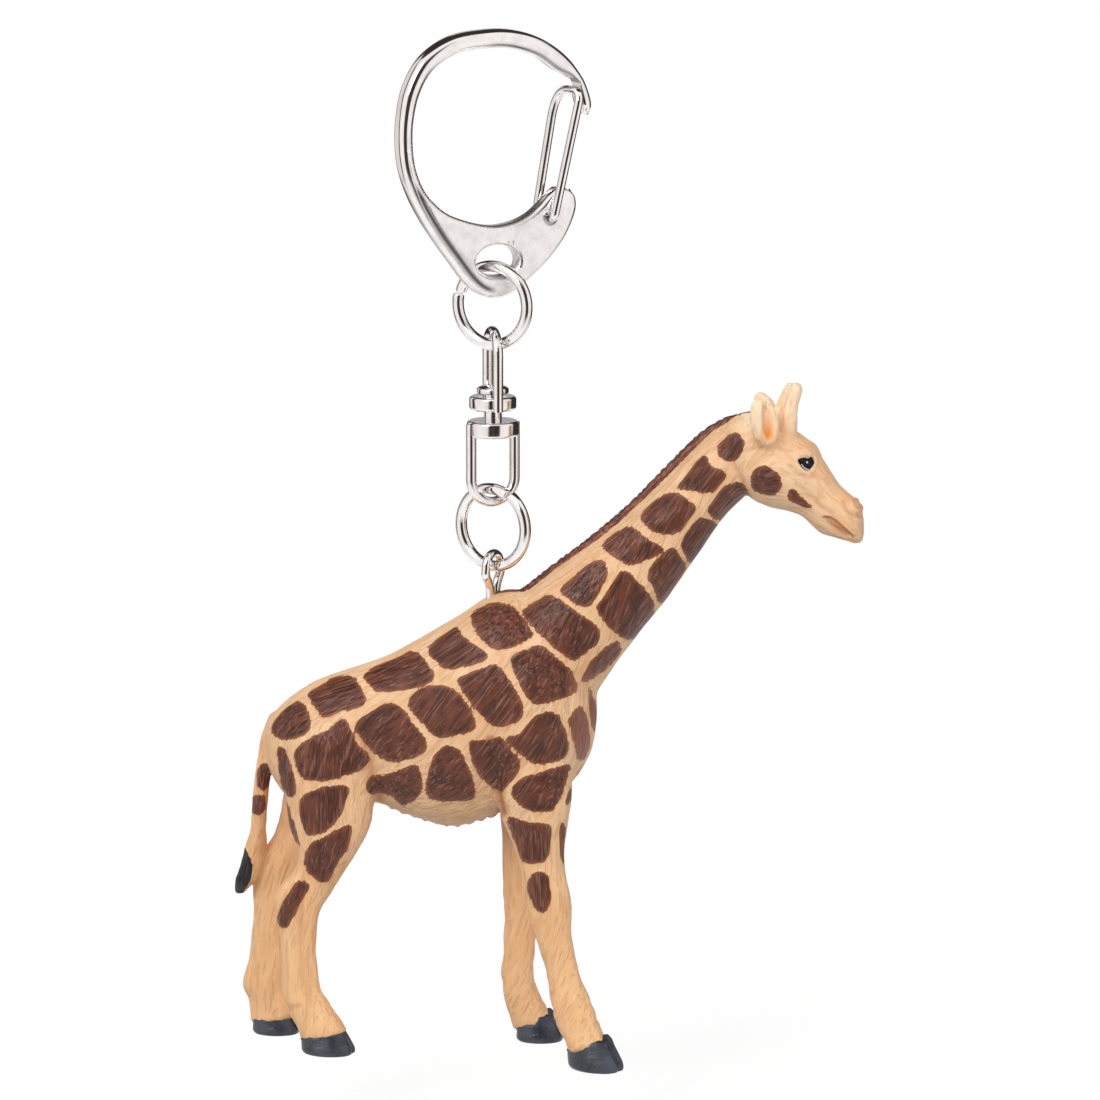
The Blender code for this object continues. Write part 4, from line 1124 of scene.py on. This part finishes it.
def build_hook():
    """The snap hook with its ring hole, its two heel holes and the notch under the nose."""
    hook = solid("snap_hook", [turned(hook_surface(), HOOK_YAW)])
    cuts = [
        hole_cutter(),
        round_cutter("near heel cut", *NEAR_HEEL, -3.0, -0.05, HEEL_HOLE_RADIUS),
        round_cutter("far heel cut", *FAR_HEEL, 3.0, 0.05, HEEL_HOLE_RADIUS),
        round_cutter("notch cut", *NOTCH, -3.0, 3.0, NOTCH_RADIUS),
    ]
    for cut in cuts:
        modifier = hook.modifiers.new(cut.name, "BOOLEAN")
        modifier.operation = "DIFFERENCE"
        modifier.solver = "EXACT"
        modifier.object = cut
    finished(hook)
    for cut in cuts:
        bpy.data.objects.remove(cut)
    hook.data.shade_smooth()
    hook.data.set_sharp_from_angle(angle=math.radians(32))
    points = points_of(hook.data) / MM
    c, s = cos_sin(HOOK_YAW)
    x, z = points[:, 0] * c + points[:, 1] * s, points[:, 2]
    places = np.stack([x, z], -1)
    # Masks for painted dark reflection and shade along the left edge's valley, and painted shade under the
    # bow's face.
    valley = edge_line(places, VALLEY_ROWS, slice(0, 2), *VALLEY[:2])
    valley = valley * soft_step(-15.6, -18.0, z) * soft_step(0.3, -1.3, x)
    painted_recess_shade = edge_line(places, RECESS_ROWS, slice(2, 4), *RECESS) * soft_step(-4.0, 2.0, x)
    plate = soft_step(-16.5, -20.5, z + 0.25 * np.abs(x - 2))
    remember(hook.data, plate=plate, valley=np.maximum(valley, 0.85 * painted_recess_shade))
    return hook


def build_gate():
    """The gate: one wire, up the near side, over the nose and down the far side into the heel."""
    corners = [upright(*place, depth) for place, depth in (
        (NEAR_HEEL, -GATE_END), (NEAR_HEEL, -GATE_SIDE), (NEAR_GATE_TOP, -GATE_SIDE),
        (FAR_GATE_TOP, GATE_SIDE), (FAR_HEEL, GATE_SIDE), (FAR_HEEL, GATE_END))]
    path = soft_corners(corners, (0.9, *GATE_ARCH, 0.9), 16)
    return solid("gate_loop", [turned(bar(path, GATE_WIRE, (1, 0, 0.1)), HOOK_YAW)], 50)


def build_ring(name, box, yaw, split_degrees):
    """A jump ring: a round bar along a circle, its two cut ends stepped apart."""
    radius = (RING_OUTER - RING_WIRE) / 2
    share = np.linspace(0, 1, 200)
    half_cut = RING_SPLIT / 2 / radius
    angle = math.radians(split_degrees) + half_cut + (math.tau - 2 * half_cut) * share
    path = upright(radius * np.cos(angle), radius * np.sin(angle), RING_STEP * (share - 0.5))
    wire = bar(path, RING_WIRE, (0, 1, 0))
    middle = path[:, None]
    ends = np.minimum(share, 1 - share) * math.tau * radius
    pinch = 1 - 0.10 * np.exp(-ends / 0.10)[:, None, None]
    return solid(name, [turned(middle + (wire - middle) * pinch, yaw, sum(heights(box)) / 2)], 50)


def disc_surface(radius, bottom, top, bore=0.0):
    """A disc whose rims are quarter circles: rings of radius and height, from pole to pole."""
    edge, core = DISC_EDGE, radius - DISC_EDGE
    arc = np.linspace(0, math.pi / 2, 9)
    rims = [(core + edge * np.sin(arc), bottom + edge - edge * np.cos(arc)),
            (core + edge * np.cos(arc), top - edge + edge * np.sin(arc))]
    inner = np.linspace(bore + 0.02, core - 0.05, 5)
    parts = [(inner, 0 * inner + bottom), *rims, (inner[::-1], 0 * inner + top)]
    return spun(np.hstack(parts).T)


def spun(profile, sides=72):
    """A profile of radius and height spun round the chain's line, in mm."""
    angle = np.arange(sides) * math.tau / sides
    radius, height = profile[:, 0][:, None], profile[:, 1][:, None]
    return np.stack([radius * np.cos(angle), radius * np.sin(angle), height + 0 * angle], -1)


def yoke_path(top, bottom):
    """A U of wire in its own XZ plane, its bend at top and its feet at bottom."""
    reach = YOKE_SPACING / 2
    sign = math.copysign(1, top - bottom)
    bend = top - sign * (YOKE_WIRE / 2 + reach)
    angle = np.linspace(math.pi, 0, 40)
    arc = upright(reach * np.cos(angle), bend + sign * reach * np.sin(angle))
    left = upright(-reach, np.linspace(bottom, bend, 12)[:-1])
    return np.vstack([left, arc, (left * [-1, 1, 1])[::-1]])


def build_yoke(name, yaw, ends, disc):
    """Half of the swivel: a U of wire on a disc."""
    legs = bar(yoke_path(*ends), YOKE_WIRE, (0, 1, 0))
    return solid(name, [turned(legs, yaw), turned(disc_surface(*disc), yaw)], 40)


def build_swivel():
    """The swivel's two halves and the rivet that joins them."""
    floor, top = heights(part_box("swivel_upper_yoke"))
    disc_top = floor + DISC_HEIGHT
    disc = (DISC_RADIUS, disc_top - UPPER_DISC_HEIGHT, disc_top, PIN_RADIUS)
    upper = build_yoke("upper_yoke", UPPER_YAW, (top, floor + YOKE_SINK), disc)
    floor, top = heights(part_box("swivel_lower_yoke"))
    disc = (LOWER_DISC_RADIUS, top - DISC_HEIGHT, top)
    lower = build_yoke("lower_yoke", LOWER_YAW, (floor, top - YOKE_SINK), disc)
    seat = disc_top + RIVET_GAP
    angle = np.linspace(0, math.pi / 2, 14)
    dome = [RIVET_HEAD_RADIUS * np.cos(angle), seat + RIVET_RIM + (RIVET_DOME - RIVET_RIM) * np.sin(angle)]
    foot = top - PIN_DEPTH
    pin = np.array([
        (PIN_RADIUS * 0.3, foot), (PIN_RADIUS, foot), (PIN_RADIUS, top + 0.2), (PIN_RADIUS, seat),
        (RIVET_HEAD_RADIUS - RIVET_CHAMFER, seat), (RIVET_HEAD_RADIUS, seat + RIVET_CHAMFER)])
    rivet = solid("rivet", [turned(spun(np.vstack([pin, np.transpose(dome)[:-1]])), 0)], 40)
    return upper, lower, rivet


def build_eye():
    """The eye: one bent wire, its loop over the back and its two strands down into the back."""
    bottom, top = heights(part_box("eye_wire"))
    strand = (EYE_WIRE + STRAND_GAP) / 2
    reach = (EYE_WIDTH - EYE_WIRE) / 2
    loop = top - EYE_WIRE / 2 - reach
    angle = np.linspace(math.pi, 0, 13)
    arc = upright(reach * np.cos(angle), loop + reach * np.sin(angle))
    left = np.array([(-strand, 0, bottom), (-strand, 0, top - STRAND_DROP), (-reach, 0, loop - reach / 2)])
    path = smooth_rows(np.vstack([left, arc, (left * [-1, 1, 1])[::-1]]), 6)
    return solid("back_eye", [turned(bar(path, EYE_WIRE, (0, 1, 0)), EYE_YAW)], 50)


# ---------------------------------------------------------------- materials

class Signal:
    """A node's output; + - * and / join it with a number or another output in a Math node."""

    def __init__(self, socket):
        self.socket = socket

    def join(self, operation, *others):
        """The output of a Math node."""
        inputs = dict(enumerate((self, *others)))
        return add(self.socket.id_data, "ShaderNodeMath", inputs, operation=operation)

    def __add__(self, other):
        return self.join("ADD", other)

    def __sub__(self, other):
        return self.join("SUBTRACT", other)

    def __mul__(self, other):
        return self.join("MULTIPLY", other)

    def __truediv__(self, other):
        return self.join("DIVIDE", other)


def fill(node, inputs):
    """Gives a node its inputs: each is a value or another node's output."""
    for key, value in inputs.items():
        if isinstance(value, Signal):
            node.id_data.links.new(value.socket, node.inputs[key])
        else:
            node.inputs[key].default_value = value
    return node


def add(tree, kind, inputs=None, out=0, **settings):
    """One output of a new node with its settings and inputs."""
    node = tree.nodes.new(kind)
    for key, value in settings.items():
        setattr(node, key, value)
    return Signal(fill(node, inputs or {}).outputs[out])


def shade(red, green, blue):
    """A colour written as it shows on a screen, 0 to 255, as the shader's linear colour."""
    levels = np.array([red, green, blue]) / 255
    linear = np.where(levels <= 0.04045, levels / 12.92, ((levels + 0.055) / 1.055) ** 2.4)
    return (*linear.tolist(), 1.0)


def read(tree, name, out="Fac"):
    """A value kept on the mesh's points."""
    return add(tree, "ShaderNodeAttribute", out=out, attribute_name=name)


def dot(a, b):
    """The sum of the products of the members of two vectors."""
    return add(a.socket.id_data, "ShaderNodeVectorMath", {0: a, 1: b}, "Value", operation="DOT_PRODUCT")


def ramp(value, low, high, out_low=0.0, out_high=1.0):
    """The value mapped smoothly from low..high to out_low..out_high."""
    inputs = {0: value, 1: low, 2: high, 3: out_low, 4: out_high}
    return add(value.socket.id_data, "ShaderNodeMapRange", inputs, interpolation_type="SMOOTHSTEP")


def mix(share, a, b):
    """Two colours mixed by a share."""
    return add(share.socket.id_data, "ShaderNodeMix", {0: share, 6: a, 7: b}, 2, data_type="RGBA")


def painted(colour, *layers):
    """A colour with layers mixed over it in turn, each a share and the levels of its own colour."""
    for share, levels in layers:
        colour = mix(share, colour, shade(*levels))
    return colour


def bumped(height, strength, depth):
    """The normal of a bumpy surface, its bumps so deep in mm."""
    inputs = {"Height": height, "Strength": strength, "Distance": depth * MM}
    return add(height.socket.id_data, "ShaderNodeBump", inputs)


def noise(tree, size, detail=2.0, roughness=0.5):
    """Plain noise with lumps of about the given size in mm."""
    place = add(tree, "ShaderNodeTexCoord", out="Object")
    inputs = {"Vector": place, "Scale": 1 / (size * MM), "Detail": detail, "Roughness": roughness}
    return add(tree, "ShaderNodeTexNoise", inputs)


def fresh_material(name):
    """A material with a Principled shader, and its tree."""
    made = bpy.data.materials.new(name)
    made.use_nodes = True
    return made, made.node_tree, made.node_tree.nodes["Principled BSDF"]


def fresh_group(name, sockets):
    """A node group with named sockets, and the nodes at which it takes its inputs and gives its outputs."""
    tree = bpy.data.node_groups.new(name, "ShaderNodeTree")
    for label, kind, way, value in sockets:
        made = tree.interface.new_socket(name=label, in_out=way, socket_type="NodeSocket" + kind)
        if value is not None:
            made.default_value = value
    return tree, tree.nodes.new("NodeGroupInput").outputs, tree.nodes.new("NodeGroupOutput")


def combed_hair_group():
    """Combed hair: noise drawn out along fixed directions in XZ, blended by the doubled angle "Comb".

    The formula is that of combed_noise, with 0.5 added. Length and Spacing are in mm.
    """
    tree, given, out = fresh_group("combed hair", (
        ("Comb", "Vector", "INPUT", None), ("Length", "Float", "INPUT", 2.8),
        ("Spacing", "Float", "INPUT", 0.36), ("Strand", "Float", "OUTPUT", None)))
    comb, length, spacing = (Signal(given[name]) for name in ("Comb", "Length", "Spacing"))
    size = add(tree, "ShaderNodeCombineXYZ", {0: length, 1: spacing, 2: spacing})
    size = add(tree, "ShaderNodeVectorMath", {0: size, "Scale": MM}, operation="SCALE")
    place = add(tree, "ShaderNodeTexCoord", out="Object")
    total = power = None
    for k in range(HAIR_WAYS):
        a = math.pi * k / HAIR_WAYS
        weight = ramp(dot(comb, (math.cos(2 * a), math.sin(2 * a), 0)), HAIR_FADE, 1.0)
        at = add(tree, "ShaderNodeMapping", {"Vector": place, "Rotation": (0, -a, 0), "Scale": size},
                 vector_type="TEXTURE")
        way = add(tree, "ShaderNodeTexNoise", {"Vector": at, "Scale": 1.0, "Detail": 1.0, "Roughness": 0.4})
        part, square = (way - 0.5) * weight, weight * weight
        total, power = (total + part, power + square) if k else (part, square + 1e-6)
    fill(out, {"Strand": total / power.join("SQRT") + 0.5})
    return tree


def hair(tree, group, comb, length, spacing):
    """The combed hair placed in a material with its own length and spacing in mm: 0 to 1, about 0.5."""
    inputs = {"Comb": comb, "Length": length, "Spacing": spacing}
    return add(tree, "ShaderNodeGroup", inputs, node_tree=group)


def giraffe_material(group):
    """Peach PVC with brown spots brushed on along the hair, a black tuft and a dark mane line."""
    made, tree, shader = fresh_material("painted giraffe PVC")
    names = ("warm", "pale", "glow", "cavity", "spot", "thin", "mane", "tuft", "rough")
    warm, pale, glow, cavity, spot, thin, mane, tuft, rough = (read(tree, name) for name in names)
    comb = read(tree, "comb", "Vector")
    strand = hair(tree, group, comb, 5.2, 0.46)
    fine = hair(tree, group, comb, 4.4, 0.25)
    # furrow: the hair's grooves; the coat, spots and mane band are painted darker in them, painted shade in
    # the grooves
    furrow = ramp(strand, 0.46, 0.38)
    # The hair's ridges are painted lighter: a painted highlight, and in the spots also thinner paint.
    ridge_highlight_and_bare = ramp(fine, 0.57, 0.66)
    patch = noise(tree, 2.2, 3.0)
    grain = noise(tree, 0.18, 3.0, 0.6)

    coat = mix(ramp(noise(tree, 6.0), 0.35, 0.65), shade(236, 189, 143), shade(243, 200, 157))
    coat = painted(
        # The warm and pale layers stand partly for painted light shining through the thin tail, legs and
        # ears.
        coat, (ramp(patch, 0.50, 0.75, 0.0, 0.45), (226, 172, 122)), (warm, (250, 196, 138)),
        (pale, (254, 227, 193)), (furrow * 0.24, (214, 148, 92)), (ridge_highlight_and_bare * 0.30, (252, 222, 186)),
        # The crease layer is painted shade in the creases, along the lips and in the mouth.
        # glow is painted light shining through the ear, together with the orange tints of the face.
        (glow, (236, 150, 66)), (cavity, (170, 100, 54)))

    brushed = (strand - 0.5) * 0.50 + (fine - 0.5) * 0.36
    inside = spot + 0.05 + brushed
    spot_share = ramp(inside, -0.03, 0.06)
    brown = mix(ramp(patch, 0.35, 0.65), shade(84, 41, 25), shade(110, 57, 35))
    # The furrow layer below is painted shade in the grooves of the spots' hair.
    brown = painted(
        brown, (ramp(inside, 0.55, 0.08, 0.0, 0.65), (152, 86, 42)), (furrow * 0.50, (52, 24, 16)),
        (ridge_highlight_and_bare * 0.36, (176, 126, 106)), (thin, (176, 112, 88)))
    skin = mix(spot_share, coat, brown)

    mane_share = ramp(mane + brushed * 1.5, 0.0, 0.12)
    # The mane band is painted darker in the hair's grooves, painted shade.
    skin = mix(mane_share, skin, mix(furrow, shade(128, 72, 46), shade(76, 38, 24)))
    tuft_share = ramp(tuft + brushed * 0.6, -0.02, 0.05)
    skin = mix(tuft_share, skin, mix(ramp(strand, 0.4, 0.6), shade(16, 15, 16), shade(44, 41, 41)))

    gloss = ramp(spot_share.join("MAXIMUM", tuft_share), 0.0, 1.0, 0.46, 0.34)
    height = strand * 0.85 + fine * 0.40 - furrow * 0.35 + grain * 0.05 + spot_share * 0.08
    fill(shader, {
        "Base Color": skin, "Roughness": gloss + grain * 0.08, "Specular IOR Level": 0.42,
        "Subsurface Weight": 0.22, "Subsurface Radius": (1.0, 0.42, 0.18), "Subsurface Scale": 1.2 * MM,
        "Normal": bumped(height * rough, 1.0, 0.26),
    })
    return made


def mane_material(group):
    """The painted mane: dark brown crest, redder locks and a little bare PVC between them."""
    made, tree, shader = fresh_material("painted mane")
    strand = hair(tree, group, read(tree, "comb", "Vector"), 1.8, 0.30)
    furrow = ramp(strand, 0.46, 0.36)
    share = read(tree, "mane")
    brown = mix(ramp(strand, 0.38, 0.62), shade(96, 44, 30), shade(150, 82, 54))
    # The first layer is painted shade in the grooves between the locks.
    brown = painted(
        brown, (ramp(read(tree, "lock"), 0.45, 0.0, 0.0, 0.6), (58, 30, 20)),
        (ramp(share, 1.05, 1.45, 0.0, 0.6), (70, 40, 30)),
        (ramp(share + (strand - 0.5) * 1.6, 0.62, 0.50), (196, 130, 84)))
    fill(shader, {"Base Color": brown, "Roughness": ramp(strand, 0.2, 0.8, 0.36, 0.50),
                  "Normal": bumped(strand - furrow * 0.4, 0.9, 0.14)})
    return made


def hoof_material():
    """Charcoal paint, rubbed lighter on its high places and a little uneven."""
    made, tree, shader = fresh_material("charcoal hoof paint")
    wide, fine = noise(tree, 2.4, 3.0), noise(tree, 0.35, 3.0, 0.6)
    tone = mix(ramp(wide, 0.38, 0.66), shade(42, 45, 54), shade(70, 74, 86))
    tone = painted(tone, (ramp(fine, 0.62, 0.74, 0.0, 0.45), (128, 128, 131)))
    fill(shader, {"Base Color": tone, "Roughness": ramp(wide, 0.3, 0.7, 0.22, 0.42),
                  "Normal": bumped(wide + fine, 0.6, 0.10)})
    return made


def eye_material():
    """Glossy black paint with painted highlights: a pale line along its lower edge and a small glint."""
    made, tree, shader = fresh_material("eye paint")
    tone = mix(ramp(noise(tree, 0.35), 0.45, 0.7), shade(5, 5, 7), shade(28, 30, 42))
    # The two layers are painted highlights on the eye.
    tone = painted(tone, (ramp(read(tree, "rim"), 0.32, 0.64, 0.0, 0.9), (228, 223, 220)),
                   (read(tree, "glint"), (206, 214, 228)))
    fill(shader, {"Base Color": tone, "Roughness": 0.26, "Specular IOR Level": 0.18})
    return made


def plating_group():
    """Small marks in bright nickel plate: cloudy patches, fine rubbing and cast pits."""
    tree, given, out = fresh_group("plating marks", (
        ("Pits", "Float", "INPUT", 0.0), ("Cloud", "Float", "OUTPUT", None),
        ("Height", "Float", "OUTPUT", None)))
    pitted = ramp(noise(tree, 0.34, 2.0, 0.55), 0.30, 0.44) * (Signal(given["Pits"]) * 0.5)
    fill(out, {"Cloud": noise(tree, 1.6, 3.0, 0.6), "Height": pitted + noise(tree, 0.12, 2.0, 0.6) * 0.05})
    return tree


def plated_material(name, group, tone, roughness, pitted=False):
    """Bright nickel plate; with pitted, the plate of the casting is satin and finely pitted."""
    made, tree, shader = fresh_material(name)
    cloud = add(tree, "ShaderNodeGroup", out="Cloud", node_tree=group)
    marks = cloud.socket.node
    darker = tuple(value * 0.90 for value in tone[:3]) + (1.0,)
    plated = mix(ramp(cloud, 0.40, 0.70), tone, darker)
    rough = ramp(cloud, 0.35, 0.70, roughness, roughness + 0.07)
    if pitted:
        satin = read(tree, "plate")
        fill(marks, {"Pits": satin})
        # The valley mask paints dark reflection and shade into the plating.
        plated = painted(plated, (read(tree, "valley") * 0.92, (58, 48, 45)))
        rough = rough + satin * 0.20
    fill(shader, {"Base Color": plated, "Roughness": rough, "Metallic": 1.0,
                  "Normal": bumped(Signal(marks.outputs["Height"]), 0.5, 0.03)})
    return made


# ---------------------------------------------------------------- studio

def background(tree, colour, strength=1.0):
    """The light of a backdrop."""
    return add(tree, "ShaderNodeBackground", {"Color": colour, "Strength": strength})


def light_paths(tree):
    """What a ray is: seen by the camera, and mirrored or passed through glass."""
    paths = tree.nodes.new("ShaderNodeLightPath").outputs
    kinds = ("Camera", "Glossy", "Transmission")
    camera, glossy, through = (Signal(paths[f"Is {kind} Ray"]) for kind in kinds)
    return camera, glossy.join("MAXIMUM", through)


def make_floor():
    """A pale floor below the hanging key ring, which fades into the white backdrop."""
    angle = np.linspace(0, math.tau, 96, endpoint=False)
    radius = np.array([0.02, 0.1, 0.2, 0.4])[:, None]
    level = SOLE - 12 * MM
    rings = upright(radius * np.cos(angle), level, radius * np.sin(angle))
    mesh = bpy.data.meshes.new("floor")
    faces = closed_faces(4, 96, 0)[:4 * 96]
    mesh.from_pydata(np.vstack([rings.reshape(-1, 3), [[0, 0, level]]]), [], faces)
    floor = placed("floor", mesh)
    made, tree, shader = fresh_material("pale floor")
    tree.nodes.remove(shader)
    camera, mirrored = light_paths(tree)
    matt = add(tree, "ShaderNodeBsdfDiffuse", {"Color": (0.30, 0.30, 0.30, 1)})
    seen = camera.join("MAXIMUM", mirrored)
    glow = add(tree, "ShaderNodeEmission", {"Color": (1, 1, 1, 1), "Strength": seen * 0.74})
    both = add(tree, "ShaderNodeAddShader", {0: matt, 1: glow})
    place = add(tree, "ShaderNodeTexCoord", out="Object")
    flat = add(tree, "ShaderNodeVectorMath", {0: place, 1: (1, 1, 0)}, operation="MULTIPLY")
    reach = add(tree, "ShaderNodeVectorMath", {0: flat}, "Value", operation="LENGTH")
    clear = add(tree, "ShaderNodeBsdfTransparent")
    blend = add(tree, "ShaderNodeMixShader", {0: ramp(reach, 0.10, 0.36), 1: both, 2: clear})
    fill(tree.nodes["Material Output"], {"Surface": blend})
    mesh.materials.append(made)


def make_world():
    """White backdrop; what shows in metal is a ring of white, light and dark walls about the key ring."""
    world = bpy.data.worlds.new("studio")
    bpy.context.scene.world = world
    world.use_nodes = True
    tree = world.node_tree
    tree.nodes.clear()
    way = add(tree, "ShaderNodeTexCoord", out="Generated")
    right, _, back = camera_axes()
    aside, before, canopy = (dot(way, tuple(axis)) for axis in (right, back, DARK_CANOPY))
    waver = add(tree, "ShaderNodeTexNoise", {"Vector": way, "Scale": 2.5, "Detail": 2.0, "Roughness": 0.5})
    place = aside.join("ARCTAN2", before) * (1 / math.tau) + 0.5 + (waver - 0.5) * 0.035
    walls = add(tree, "ShaderNodeValToRGB", {0: place})
    stops = walls.socket.node.color_ramp.elements
    while len(stops) < len(WALLS):
        stops.new(1.0)
    for stop, (degrees, *colour) in zip(stops, WALLS):
        stop.position = degrees / 360 + 0.5
        stop.color = (*colour, 1)
    height = add(tree, "ShaderNodeSeparateXYZ", {0: way}, 2)
    low_behind = ramp(before, -0.80, -0.93) * ramp(height, 0.03, 0.10)
    studio = mix(ramp(height, 0.50, 0.78), walls, (1.0, 0.96, 0.94, 1))
    studio = mix(low_behind, studio, (0.42, 0.40, 0.41, 1))
    studio = mix(ramp(canopy, 0.72, 0.79), studio, (0.035, 0.028, 0.025, 1))
    studio = mix(ramp(height, -0.45, -0.75), studio, (0.30, 0.28, 0.27, 1))
    camera, mirrored = light_paths(tree)
    white = (1, 1, 1, 1)
    soft = background(tree, white, 0.62)
    lit = add(tree, "ShaderNodeMixShader", {0: mirrored, 1: soft, 2: background(tree, studio)})
    both = add(tree, "ShaderNodeMixShader", {0: camera, 1: lit, 2: background(tree, white)})
    fill(tree.nodes.new("ShaderNodeOutputWorld"), {"Surface": both})


def make_lamp(name, place, size, power, mirrored):
    """A soft square lamp that points at the key ring, and shows in shiny things or not."""
    data = bpy.data.lights.new(name, "AREA")
    data.size = size
    data.energy = power
    made = placed(name, data)
    way = Vector(LAMP_TARGET) - Vector(place)
    made.matrix_world = Matrix.Translation(place) @ way.to_track_quat("-Z", "Y").to_matrix().to_4x4()
    made.visible_glossy = mirrored


# ---------------------------------------------------------------- the key ring

def dress(made, material, body, nodes=()):
    """Gives a piece its material and its body, and hides the CAD nodes that it stands for."""
    made.data.materials.clear()
    made.data.materials.append(material)
    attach(made, body)
    if nodes:
        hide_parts(*nodes)


def main():
    """Builds the camera, the studio and the key ring."""
    bpy.context.scene.view_settings.view_transform = "Standard"
    make_camera()
    make_world()
    for lamp in LAMPS:
        make_lamp(*lamp)
    make_floor()
    combed = combed_hair_group()
    skin = build_skin()
    dress(skin, giraffe_material(combed), "figure", ["giraffe_figure"])
    dress(build_mane(), mane_material(combed), "figure")
    charcoal = hoof_material()
    for row in HOOVES:
        dress(build_hoof(*row), charcoal, "figure")
    eye_paint = eye_material()
    for eye in place_eyeballs(skin):
        dress(eye, eye_paint, "figure")
    marks = plating_group()
    casting = plated_material("nickel-plated casting", marks, (0.93, 0.91, 0.90, 1), 0.07, pitted=True)
    dress(build_hook(), casting, "hook", ["hook_body"])
    wire = plated_material("nickel-plated spring wire", marks, (0.92, 0.90, 0.89, 1), 0.05)
    dress(build_gate(), wire, "gate", ["gate_wire"])
    rings = plated_material("nickel-plated rings", marks, (0.91, 0.89, 0.88, 1), 0.06)
    upper_ring = build_ring("upper_ring_wire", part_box("upper_jump_ring"), *UPPER_RING)
    dress(upper_ring, rings, "upper_ring", ["upper_jump_ring"])
    lower_ring = build_ring("lower_ring_wire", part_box("lower_jump_ring"), *LOWER_RING)
    dress(lower_ring, rings, "lower_ring", ["lower_jump_ring"])
    swivel = plated_material("nickel-plated swivel", marks, (0.89, 0.87, 0.86, 1), 0.08)
    upper, lower, rivet = build_swivel()
    dress(upper, swivel, "upper_swivel", ["swivel_upper_yoke"])
    dress(lower, swivel, "lower_swivel", ["swivel_lower_yoke"])
    dress(rivet, swivel, "lower_swivel", ["swivel_rivet"])
    dress(build_eye(), rings, "figure", ["eye_wire"])


main()
